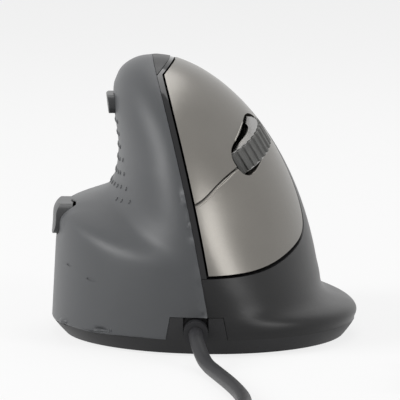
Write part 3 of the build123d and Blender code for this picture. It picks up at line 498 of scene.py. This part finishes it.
def thumb_outline(z):
    """The form's outline at heights z, one row each, from the back round the thumb's side to the front
    ridge: quarter ellipses from limit to limit, with the shelf's limit taken higher towards the front."""
    z = z[:, None]
    rise = np.clip(z / TALL, 0, 1)
    foot = np.clip((FOOT["height"] - z) / FOOT["deep"], 0, 1) ** FOOT["power"]
    left = thumb_limit(z) + FOOT["thumb"] * foot
    past = np.maximum(z - FINGER_LIP["height"], 0) / FINGER_LIP["soft"]
    lip = FINGER_LIP["reach"] / (1 + past ** FINGER_LIP["power"])
    right = CROWN[0] + dome("finger", z) + lip - FOOT["finger"] * foot
    front = CROWN[1] - dome("front", z) + FOOT["front"] * foot
    back = CROWN[1] + dome("back", z) - FOOT["back"] * foot
    right_y, left_y = widest("finger", z), widest("thumb", z)
    inner = [left + share * (right - left) for share in RIDGE_SHARES]
    ridge_x = FRONT_RIDGE["foot"] - FRONT_RIDGE["lean"] * rise - FRONT_RIDGE["bend"] * rise ** 2
    ridge_x = np.clip(ridge_x + FRONT_RIDGE["beside"], *inner)
    low, shift = BACK_RIDGE["height"], BACK_RIDGE["shift"]
    back_x = -shift * np.minimum(z / low, 1) + (CROWN[0] + shift) * np.maximum(z - low, 0) / (TALL - low)
    back_x = np.clip(back_x, *inner)
    turn = np.linspace(BACK_TURN, math.pi / 2, OUTLINE_POINTS["back"], endpoint=False)[None]
    x = [back_x + (right - back_x) * np.cos(turn)]
    y = [right_y + (back - right_y) * np.sin(turn)]
    turn = np.linspace(0, math.pi / 2, OUTLINE_POINTS["thumb_back"], endpoint=False)[None]
    x.append(back_x + (left - back_x) * np.sin(turn))
    y.append(left_y + (back - left_y) * np.cos(turn))
    turn = np.linspace(0, math.pi / 2, OUTLINE_POINTS["thumb_front"])[None]
    lifted = np.maximum(z, np.minimum(z + SHELF["drop"] * np.sin(turn) ** 2, SHELF["crest"]))
    side = left + thumb_limit(lifted) - thumb_limit(z)
    x.append(ridge_x + (side - ridge_x) * np.cos(turn))
    y.append(left_y + (front - left_y) * np.sin(turn))
    return np.concatenate(x, axis=1), np.concatenate(y, axis=1)


def look_up(table, turn, high, turns, heights):
    """A table's value between its four nearest entries, each weighted by how near it is."""
    u = np.clip((turn - turns[0]) / (turns[1] - turns[0]), 0, len(turns) - 1.001)
    v = np.clip((high - heights[0]) / (heights[1] - heights[0]), 0, len(heights) - 1.001)
    i, j = u.astype(int), v.astype(int)
    u, v = u - i, v - j
    low = table[j, i] * (1 - u) + table[j, i + 1] * u
    top = table[j + 1, i] * (1 - u) + table[j + 1, i + 1] * u
    return low * (1 - v) + top * v


def true_skin(points):
    """Moves the thumb shell's points out or in, level, until its outside lies on the form's outline.

    How far is found on a grid of directions round a middle line and heights: the outline's distance
    less the shell's. What lies within the shell goes with the outside above it, less so further in."""
    turns = np.radians(np.linspace(*SKIN_TURNS))
    heights = np.linspace(*SKIN_HEIGHTS)
    middle = np.array(SKIN_MIDDLE)
    x, y = thumb_outline(heights)
    angle = np.mod(np.arctan2(y - middle[1], x - middle[0]), 2 * math.pi)
    run = np.hypot(x - middle[0], y - middle[1])
    wanted = np.stack([np.interp(turns, a, r) for a, r in zip(angle, run)])
    way = np.stack((np.cos(turns), np.sin(turns)), axis=1)
    tree = surface_tree("thumb_shell")
    found = np.full(wanted.shape, np.nan)
    for j, high in enumerate(heights):
        for i, (along, across) in enumerate(way):
            start = (middle[0] + RAY_START * along) * MM, (middle[1] + RAY_START * across) * MM, high * MM
            hit = tree.ray_cast(Vector(start), Vector((-along, -across, 0)))[3]
            found[j, i] = np.nan if hit is None else RAY_START - hit / MM
    move = wanted - found
    known = np.isfinite(move) & (np.abs(move) < MOST_SHIFT)
    move = np.where(known, move, 0)
    for _ in range(FILL_PASSES):
        around = [np.roll(move, step, axis) for step in (1, -1) for axis in (0, 1)]
        move = np.where(known, move, sum(around) / 4)
    found = wanted - move
    mm = points / MM
    offset = mm[:, :2] - middle
    turn = np.mod(np.arctan2(offset[:, 1], offset[:, 0]), 2 * math.pi)
    reach = np.hypot(offset[:, 0], offset[:, 1])
    here = look_up(found, turn, mm[:, 2], turns, heights)
    shift = look_up(move, turn, mm[:, 2], turns, heights)
    outside = np.abs(reach - here) < SKIN_THICK
    shift = np.where(outside, look_up(wanted, turn, mm[:, 2], turns, heights) - reach, shift)
    deep = 1 - ease(*SHIFT_DEPTHS, here - reach)
    fade = 1 - ease(*SHIFT_FADE, mm[:, 2])
    inside = (turn > turns[0]) & (turn < turns[-1])
    (button_y, button_z), (half_long, half_tall) = THUMB_HOLE
    beside = np.maximum(np.abs(mm[:, 1] - button_y) - half_long + half_tall, 0)
    clear = ease(*HOLE_EASE, np.hypot(beside, mm[:, 2] - button_z) - half_tall)
    clear = np.where(mm[:, 0] < HOLE_SIDE, clear, 1)
    shift = shift * np.where(outside, 1, deep) * fade * inside * clear
    grow = 1 + shift / np.maximum(reach, 1)
    mm[:, :2] = middle + offset * grow[:, None]
    return mm * MM


def backing():
    """A thin wall just under the front of the thumb's side: the outline drawn in towards its middle by
    a little on its outside and by more on its inside, over heights where it runs nearly upright."""
    heights = np.linspace(BACKING["low"], BACKING["high"], BACKING["levels"])
    x, y = thumb_outline(heights)
    span = BACKING["span"]
    outline = np.stack((x[:, span], y[:, span]), axis=-1)
    way = unit(outline - np.array(SKIN_MIDDLE))
    inner = outline - BACKING["deep"] * way
    ring = np.concatenate((outline - BACKING["under"] * way, inner[:, ::-1]), axis=1)
    high = np.broadcast_to(heights[:, None, None], (*ring.shape[:2], 1))
    rows, columns = ring.shape[:2]
    faces = ring_faces(rows, columns).tolist()
    low = np.arange(columns // 2 - 1)
    cap = np.stack((low, low + 1, columns - 2 - low, columns - 1 - low), axis=1)
    faces += cap[:, ::-1].tolist() + (cap + (rows - 1) * columns).tolist()
    return np.concatenate((ring, high), axis=-1).reshape(-1, 3) * MM, faces


class MOUSE_OT_skin(bpy.types.Operator):
    """Makes the thumb's side of the shell, drawn smooth"""
    bl_idname = "mouse.skin"
    bl_label = "Thumb shell"

    def execute(self, context):
        mesh = nodes["thumb_shell"].data.copy()
        mesh.name = "thumb_skin"
        work = bmesh.new()
        work.from_mesh(mesh)
        bmesh.ops.remove_doubles(work, verts=work.verts, dist=0.000002)
        work.to_mesh(mesh)
        work.free()
        points = np.zeros(len(mesh.vertices) * 3)
        mesh.vertices.foreach_get("co", points)
        mesh.vertices.foreach_set("co", true_skin(points.reshape(-1, 3)).ravel())
        mesh.polygons.foreach_set("use_smooth", np.ones(len(mesh.polygons), bool))
        mesh.set_sharp_from_angle(angle=math.radians(32))
        mesh.update()
        skin = bpy.data.objects.new("thumb_skin", mesh)
        context.scene.collection.objects.link(skin)
        paint = soft_touch("Soft touch", tuple(context.scene.mouse_colours.thumb))
        give(paint, skin)
        new_piece("thumb_backing", *backing(), paint, "root")
        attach(skin, "root")
        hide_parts("thumb_shell")
        return {"FINISHED"}


class MOUSE_OT_shells(bpy.types.Operator):
    """Gives the shells, buttons, strip and base their finishes"""
    bl_idname = "mouse.shells"
    bl_label = "Shells and buttons"

    def execute(self, context):
        colours = context.scene.mouse_colours
        give(metallic_paint("Metallic grey", tuple(colours.panel)), "upper_button", "lower_button")
        give(satin_plastic("Satin black", tuple(colours.shell)), "finger_shell")
        give(gloss_plastic("Gloss black", tuple(colours.strip)), "button_frame")
        give(satin_plastic("Matt base", tuple(colours.base), 0.5, 0.0004, 0.00003), "base")
        give(satin_plastic("Thumb button grey", (0.055, 0.056, 0.058), 0.38), "upper_thumb_button",
             "lower_thumb_button")
        give(satin_plastic("Slip pads", (0.045, 0.045, 0.047), 0.3), "glide_feet")
        return {"FINISHED"}


class MOUSE_OT_wheel(bpy.types.Operator):
    """Gives the scroll wheel its rubber and its bright hub"""
    bl_idname = "mouse.wheel"
    bl_label = "Scroll wheel"

    def execute(self, context):
        colours = context.scene.mouse_colours
        give(ribbed_rubber("Grey rubber", tuple(colours.tyre)), "scroll_tyre")
        give(bright_metal("Bright hub", (0.34, 0.335, 0.33)), "scroll_hub")
        give(satin_plastic("Carrier black", (0.02, 0.02, 0.02), 0.5), "wheel_carrier", "carrier_bracket",
             "wheel_encoder")
        return {"FINISHED"}


class MOUSE_OT_inside(bpy.types.Operator):
    """Gives the boards, switches, screws and lens inside their finishes"""
    bl_idname = "mouse.inside"
    bl_label = "Inside"

    def execute(self, context):
        give(circuit_board("Board green", (0.02, 0.13, 0.055)), "upright_board", "upper_thumb_board",
             "lower_thumb_board", "main_board")
        give(satin_plastic("Switch black", (0.02, 0.02, 0.021), 0.45), "wheel_click_switch", "upper_switch",
             "lower_switch", "upper_thumb_switch", "lower_thumb_switch", "controller_chip", "sensor_chip")
        give(satin_plastic("Plunger white", (0.72, 0.72, 0.69), 0.4), "wheel_click_plunger", "upper_plunger",
             "lower_plunger", "upper_thumb_plunger", "lower_thumb_plunger", "cord_header", "link_sockets")
        give(bright_metal("Screw steel", (0.5, 0.5, 0.51), 0.32), "frame_screws", "base_screws",
             "board_screws")
        lens = Finish("Clear lens", Transmission_Weight=0.9, IOR=1.49, Specular_IOR_Level=0.5)
        haze = lens.noise(0.002, 2)
        lens.colour(lens.blend(haze, (0.82, 0.85, 0.86), (0.92, 0.94, 0.95)))
        lens.rough(0.06 + haze * 0.06)
        give(lens, "sensor_lens")
        return {"FINISHED"}


class MOUSE_OT_cord(bpy.types.Operator):
    """Lays the cord from its strain relief through the coil to the plug"""
    bl_idname = "mouse.cord"
    bl_label = "Cord"

    def execute(self, context):
        diameter = context.scene.mouse_sizes.cord_diameter
        sheath = satin_plastic("Cord sheath", tuple(context.scene.mouse_colours.cord), 0.42, 0.0004, 0.00001)
        points = np.concatenate((np.array(LEAD), coil_points(), np.array(TAIL))) * MM
        curve = bpy.data.curves.new("cord", "CURVE")
        curve.dimensions = "3D"
        spline = curve.splines.new("NURBS")
        spline.points.add(len(points) - 1)
        spline.points.foreach_set("co", np.column_stack((points, np.ones(len(points)))).ravel())
        spline.order_u = 3
        spline.use_endpoint_u = True
        spline.resolution_u = 6
        curve.bevel_depth = diameter / 2
        curve.bevel_resolution = 5
        curve.use_fill_caps = True
        cord = bpy.data.objects.new("cord", curve)
        context.scene.collection.objects.link(cord)
        give(sheath, cord)
        give(sheath, "cord_grommet", "cord_core", "board_link")
        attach(cord, "root")
        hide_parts("cord_lead", "cord_coil", "cord_tail")
        return {"FINISHED"}


def coil_points():
    """Six points on each half turn, set out a little because a smooth line cuts inside its points.

    Half turn k goes round the middle of its two ends, whose distance from the coil's middle falls by
    half a pitch each time until the cord climbs a layer, and then grows again."""
    station = np.arange(2 * COIL_HALF_TURNS + 2)
    turns = np.minimum(station, station[::-1])
    x = np.where(station % 2, 1, -1) * (COIL_RADIUS - turns * COIL_PITCH / 2)
    middle, reach = (x[:-1] + x[1:]) / 2, np.abs(x[1:] - x[:-1]) / 2
    share = (np.arange(6) + 0.5) / 6
    half_turn = np.arange(len(middle))[:, None]
    angle = math.pi * (half_turn + 1 + share[None, :])
    set_out = reach[:, None] / math.cos(math.pi / 12)
    climb = np.clip(half_turn + share[None, :] - COIL_HALF_TURNS, 0, 1)
    return np.stack((
        COIL_PLACE[0] + middle[:, None] + set_out * np.cos(angle),
        COIL_PLACE[1] + set_out * np.sin(angle),
        COIL_LOW + COIL_CLIMB * climb), axis=-1).reshape(-1, 3)


class MOUSE_OT_plug(bpy.types.Operator):
    """Makes the plug's rounded grip, with its shallow grooves and tapered nose"""
    bl_idname = "mouse.plug"
    bl_label = "Plug"

    def execute(self, context):
        rubber = satin_plastic("Plug grip", (0.022, 0.022, 0.024), 0.4, 0.0003, 0.00002)
        grip = new_piece("plug_grip", *plug_surface(), rubber, "root")
        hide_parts("plug_overmould")
        metal = bright_metal("Plug metal", (0.66, 0.66, 0.67), 0.24)
        low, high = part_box("plug_shell")
        middle = (low + high) / 2
        beside, ahead, soft = 0.0027, 0.0012, 0.0001
        half_wide, half_long, half_tall = 0.00125, 0.00105, 0.0020
        # painted shade: near-black patches on the top and bottom of the metal shell stand for the dark inside
        # of the plug's latch holes
        across = abs(abs(metal.axis("X") - middle.x) - beside)
        along = abs(metal.axis("Y") - (middle.y + ahead))
        painted_hole_shade = across.below(half_wide, soft) * along.below(half_long, soft)
        painted_hole_shade = painted_hole_shade * abs(metal.axis("Z") - middle.z).above(half_tall, soft)
        metal.colour(metal.blend(painted_hole_shade, (0.62, 0.62, 0.63), (0.004, 0.004, 0.004)))
        give(metal, "plug_shell")
        give(satin_plastic("Plug tongue", (0.75, 0.75, 0.74), 0.45), "plug_tongue")
        return {"FINISHED"}


def plug_surface():
    """The grip as rounded oblongs along its length: |x/a|^n + |z/b|^n = 1, with a, b and n that change
    from the round nose to the flat grip, and three shallow grooves across the grip."""
    low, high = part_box("plug_overmould")
    low, high = np.array(low), np.array(high)
    length = high[1] - low[1]
    share = np.concatenate((
        [0, 0.004, 0.02], np.linspace(0.05, 0.26, 8), [0.275, 0.285, 0.30, 0.33], np.linspace(0.37, 0.93, 40),
        [0.955, 0.975, 0.99, 1.0]))
    step = ease(STEP_SHARE, STEP_SHARE + STEP_LONG, share)
    nose = NOSE_RADIUS + (share / NOSE_SHARE).clip(0, 1) * NOSE_SWELL
    wide, tall = ((high[axis] - low[axis]) / 2 - NOSE_RADIUS - NOSE_SWELL for axis in (0, 2))
    past = np.clip((np.abs(share - 0.5) - 0.5 + END_SHARE) / END_SHARE, 0, 1)
    ends = np.sqrt(1 - past ** 2) * END_DEPTH + 1 - END_DEPTH
    groove = sum(np.exp(-(((share - at) / GROOVE_WIDE) ** 2)) for at in GROOVE_SHARES) * GROOVE_DEEP
    half_wide, half_tall = (nose + step * wide) * ends - groove, (nose + step * tall) * ends - groove
    power = 2 / (2 + GRIP_SQUARE * step)
    angle = np.linspace(0, 2 * math.pi, 48, endpoint=False)
    cos, sin = np.cos(angle)[None, :], np.sin(angle)[None, :]
    x = half_wide[:, None] * np.sign(cos) * np.abs(cos) ** power[:, None]
    z = half_tall[:, None] * np.sign(sin) * np.abs(sin) ** power[:, None]
    middle = (low + high) / 2
    y = np.broadcast_to((low[1] + share * length)[:, None], x.shape)
    points = np.stack((middle[0] + x, y, middle[2] + z), axis=-1).reshape(-1, 3)
    rows, columns = len(share), len(angle)
    faces = [list(face) for face in ring_faces(rows, columns)]
    faces.append(list(range(columns)))
    faces.append([(rows - 1) * columns + i for i in range(columns)][::-1])
    return points, faces


class MOUSE_OT_dots(bpy.types.Operator):
    """Sets the small grip dots on the thumb's side of the shell"""
    bl_idname = "mouse.dots"
    bl_label = "Grip dots"

    def execute(self, context):
        sizes = context.scene.mouse_sizes
        rubber = soft_touch("Grip dots", shade(tuple(context.scene.mouse_colours.thumb), 0.8), 0.4)
        spots = [
            (first * MM + i * sizes.dot_step, high * MM)
            for high, first, count in DOT_ROWS for i in range(count)]
        spots += [(y * MM, z * MM) for y, z in DOT_EXTRAS]
        tree = surface_tree("thumb_skin")
        places, normals, met = cast(tree, [(-0.1, y, z) for y, z in spots], (1, 0, 0))
        places, normals = places[met], normals[met]
        domes = dome_surface(places, normals, sizes.dot_radius, sizes.dot_rise)
        new_piece("grip_dots", *domes, rubber, "root")
        return {"FINISHED"}


def dome_surface(places, normals, radius, rise):
    """Low domes: a point lies radius x cos(v) from the middle and rise x sin(v) out of the surface,
    and the lowest ring lies under the surface."""
    side = unit(np.cross(normals, np.array((0.0, 0.3, 1.0))))
    up = np.cross(normals, side)
    turn = np.linspace(0, 2 * math.pi, 12, endpoint=False)
    climb = np.array((-0.35, 0.0, 0.45, 0.9, 1.3))
    ring = np.cos(climb)[None, :, None, None] * radius
    turn = turn[None, None, :, None]
    flat = side[:, None, None] * np.cos(turn) + up[:, None, None] * np.sin(turn)
    high = (np.sin(climb) * rise)[None, :, None, None] * normals[:, None, None]
    points = places[:, None, None] + ring * flat + high
    rows, columns = points.shape[1:3]
    one = ring_faces(rows, columns)
    faces = (one[None] + (np.arange(len(places)) * rows * columns)[:, None, None]).reshape(-1, 4).tolist()
    caps = np.arange(columns)[None] + (np.arange(len(places)) * rows * columns)[:, None]
    faces += (caps[:, ::-1]).tolist()
    faces += (caps + (rows - 1) * columns).tolist()
    return points.reshape(-1, 3), faces


class MOUSE_OT_lips(bpy.types.Operator):
    """Rounds the edges of the wheel's slot and of the buttons' seam with a fine raised lip, whose grey is
    painted lighter than the buttons' as a painted highlight
    """
    bl_idname = "mouse.lips"
    bl_label = "Edge lips"

    def execute(self, context):
        radius = context.scene.mouse_sizes.lip_radius
        # painted highlight: the lip's grey is the buttons' grey made 1.35 times lighter, so the edge reads as
        # a bright line
        paint = metallic_paint("Lip painted highlight grey", shade(tuple(context.scene.mouse_colours.panel), 1.35))
        axes = wheel_axes()
        outline = smooth_line(np.array(SLOT_OUTLINE), 160, 0.16)
        starts = (WHEEL_PLACE + outline[:, :1] * axes[0] + outline[:, 1:] * axes[1] + 40 * axes[2]) * MM
        for name in ("upper_button", "lower_button"):
            places, normals, met = cast(surface_tree(name), starts, tuple(-axes[2]))
            runs = np.split(np.arange(len(met)), np.flatnonzero(np.diff(met.astype(int))) + 1)
            lengths = [len(run) if met[run[0]] else 0 for run in runs]
            run = runs[int(np.argmax(lengths))]
            edge = new_piece(
                "slot_lip_" + name.split("_")[0],
                *tube_surface(places[run] - normals[run] * radius * 0.55, radius), paint, name)
        line = smooth_line(np.array(SEAM_LINE), 80, 0)
        starts = np.column_stack((np.full(len(line), 100.0), line)) * MM
        places, normals, met = cast(surface_tree("lower_button"), starts, (-1, 0, 0))
        places, normals = places[met], normals[met]
        edge = new_piece(
            "seam_lip", *tube_surface(places - normals * radius * 0.55, radius), paint, "lower_button")
        return {"FINISHED"}


def smooth_line(points, count, grow):
    """A smooth open line through points, pushed outwards from their middle by a distance."""
    run = np.concatenate(([0], np.cumsum(np.linalg.norm(np.diff(points, axis=0), axis=1))))
    places = np.linspace(0, run[-1], count)
    line = np.stack([np.interp(places, run, points[:, i]) for i in range(2)], axis=1)
    kernel = np.hanning(9) / np.hanning(9).sum()
    padded = np.pad(line, ((4, 4), (0, 0)), mode="edge")
    line = np.stack([np.convolve(padded[:, i], kernel, "valid") for i in range(2)], axis=1)
    way = np.gradient(line, axis=0)
    away = unit(np.stack((way[:, 1], -way[:, 0]), axis=1))
    if ((line - line.mean(axis=0)) * away).sum() < 0:
        away = -away
    return line + away * grow


def tube_surface(path, radius, sides=8):
    """A round tube along a path: each ring lies square to the path, at a radius from it."""
    way = unit(np.gradient(path, axis=0))
    side = unit(np.cross(way, np.array((0.2, 1.0, 0.1))))
    up = np.cross(way, side)
    angle = np.linspace(0, 2 * math.pi, sides, endpoint=False)[None, :, None]
    points = path[:, None] + radius * (side[:, None] * np.cos(angle) + up[:, None] * np.sin(angle))
    faces = ring_faces(len(path), sides, flip=True).tolist()
    faces.append(list(range(sides)))
    faces.append([(len(path) - 1) * sides + i for i in range(sides)][::-1])
    return points.reshape(-1, 3), faces


class MOUSE_OT_stage(bpy.types.Operator):
    """Sets the pale floor, the soft lamps and the camera"""
    bl_idname = "mouse.stage"
    bl_label = "Stage"

    def execute(self, context):
        settings = context.scene.mouse_stage
        mesh = bpy.data.meshes.new("floor")
        reach = FLOOR_REACH
        corners = [(-reach, -reach, 0), (reach, -reach, 0), (reach, reach, 0), (-reach, reach, 0)]
        mesh.from_pydata(corners, [], [(0, 1, 2, 3)])
        floor = bpy.data.objects.new("floor", mesh)
        context.scene.collection.objects.link(floor)
        give(floor_finish(), floor)
        for (name, (place, size)), power in zip(LAMPS.items(), (settings.key, settings.fill, settings.top)):
            lamp = bpy.data.lights.new(name, "AREA")
            lamp.size = size
            lamp.energy = power
            made = bpy.data.objects.new(name, lamp)
            made.location = place
            made.rotation_euler = (Vector(LAMP_AIM) - Vector(place)).to_track_quat("-Z", "Y").to_euler()
            context.scene.collection.objects.link(made)
        surroundings(settings.world)
        lens = bpy.data.cameras.new("camera")
        lens.lens = CAMERA["lens"]
        lens.sensor_width = CAMERA["sensor"]
        lens.clip_start = 0.05
        lens.clip_end = 50
        camera = bpy.data.objects.new("camera", lens)
        up, far = CAMERA["elevation"], CAMERA["far"]
        camera.location = (CAMERA["x"], -far * math.cos(up), CAMERA["z"] + far * math.sin(up))
        camera.rotation_euler = (math.radians(90) - up, 0, 0)
        context.scene.collection.objects.link(camera)
        context.scene.camera = camera
        context.scene.view_settings.view_transform = "Standard"
        return {"FINISHED"}


def floor_finish():
    """A pale desk that looks white straight on and still takes a soft shadow."""
    finish = Finish("Pale floor", Specular_IOR_Level=0.1)
    cloud = finish.noise(0.4, 2)
    finish.colour(finish.blend(cloud, (0.86, 0.86, 0.86), (0.90, 0.90, 0.90)))
    finish.rough(0.9 - cloud * 0.05)
    path = finish.node("ShaderNodeLightPath")
    glow = finish.node("ShaderNodeEmission", None, {"Color": (1, 1, 1, 1), "Strength": 1.0})
    seen = Value(finish, path.outputs["Is Camera Ray"])
    seen = seen.maths("MAXIMUM", Value(finish, path.outputs["Is Glossy Ray"]))
    seen = seen.maths("MAXIMUM", Value(finish, path.outputs["Is Transmission Ray"]))
    mix = finish.node(
        "ShaderNodeMixShader", None, {0: seen * 0.8, 1: finish.shader.outputs[0], 2: glow.outputs[0]})
    output = next(node for node in finish.tree.nodes if node.type == "OUTPUT_MATERIAL")
    finish.tree.links.new(mix.outputs[0], output.inputs[0])
    return finish


def surroundings(strength):
    """White where the camera, glossy or clear things look past the object, and softer as light."""
    world = bpy.data.worlds.new("studio")
    world.use_nodes = True
    bpy.context.scene.world = world
    tree = world.node_tree
    background = tree.nodes["Background"]
    background.inputs["Color"].default_value = (1, 1, 1, 1)
    path = tree.nodes.new("ShaderNodeLightPath")
    seen = path.outputs["Is Camera Ray"]
    for ray in ("Is Glossy Ray", "Is Transmission Ray"):
        most = tree.nodes.new("ShaderNodeMath")
        most.operation = "MAXIMUM"
        tree.links.new(seen, most.inputs[0])
        tree.links.new(path.outputs[ray], most.inputs[1])
        seen = most.outputs[0]
    level = tree.nodes.new("ShaderNodeMapRange")
    level.inputs["To Min"].default_value = strength
    level.inputs["To Max"].default_value = 1.0
    tree.links.new(seen, level.inputs["Value"])
    tree.links.new(level.outputs[0], background.inputs["Strength"])


class MOUSE_PT_panel(bpy.types.Panel):
    """Lists the sizes, colours and steps"""
    bl_idname = "MOUSE_PT_panel"
    bl_label = "Vertical mouse"
    bl_space_type = "VIEW_3D"
    bl_region_type = "UI"
    bl_category = "Mouse"

    def draw(self, context):
        for group in (context.scene.mouse_sizes, context.scene.mouse_colours, context.scene.mouse_stage):
            for name in group.__annotations__:
                self.layout.prop(group, name)
        for step in STEPS:
            self.layout.operator(step.bl_idname)


GROUPS = (MouseSizes, MouseColours, StageSettings)
STEPS = (
    MOUSE_OT_skin, MOUSE_OT_shells, MOUSE_OT_wheel, MOUSE_OT_inside, MOUSE_OT_plug, MOUSE_OT_cord,
    MOUSE_OT_dots, MOUSE_OT_lips, MOUSE_OT_stage)


def register():
    for made in (*GROUPS, *STEPS, MOUSE_PT_panel):
        bpy.utils.register_class(made)
    bpy.types.Scene.mouse_sizes = bpy.props.PointerProperty(type=MouseSizes)
    bpy.types.Scene.mouse_colours = bpy.props.PointerProperty(type=MouseColours)
    bpy.types.Scene.mouse_stage = bpy.props.PointerProperty(type=StageSettings)


def unregister():
    for name in ("mouse_sizes", "mouse_colours", "mouse_stage"):
        delattr(bpy.types.Scene, name)
    for made in (MOUSE_PT_panel, *reversed(STEPS), *reversed(GROUPS)):
        bpy.utils.unregister_class(made)


def main():
    """Registers the add-on and runs its steps in order."""
    register()
    for step in STEPS:
        group, name = step.bl_idname.split(".")
        result = getattr(getattr(bpy.ops, group), name)()
        if "FINISHED" not in result:
            raise RuntimeError(step.bl_label + " did not finish")
    bpy.context.view_layer.update()


if __name__ == "__main__":
    main()
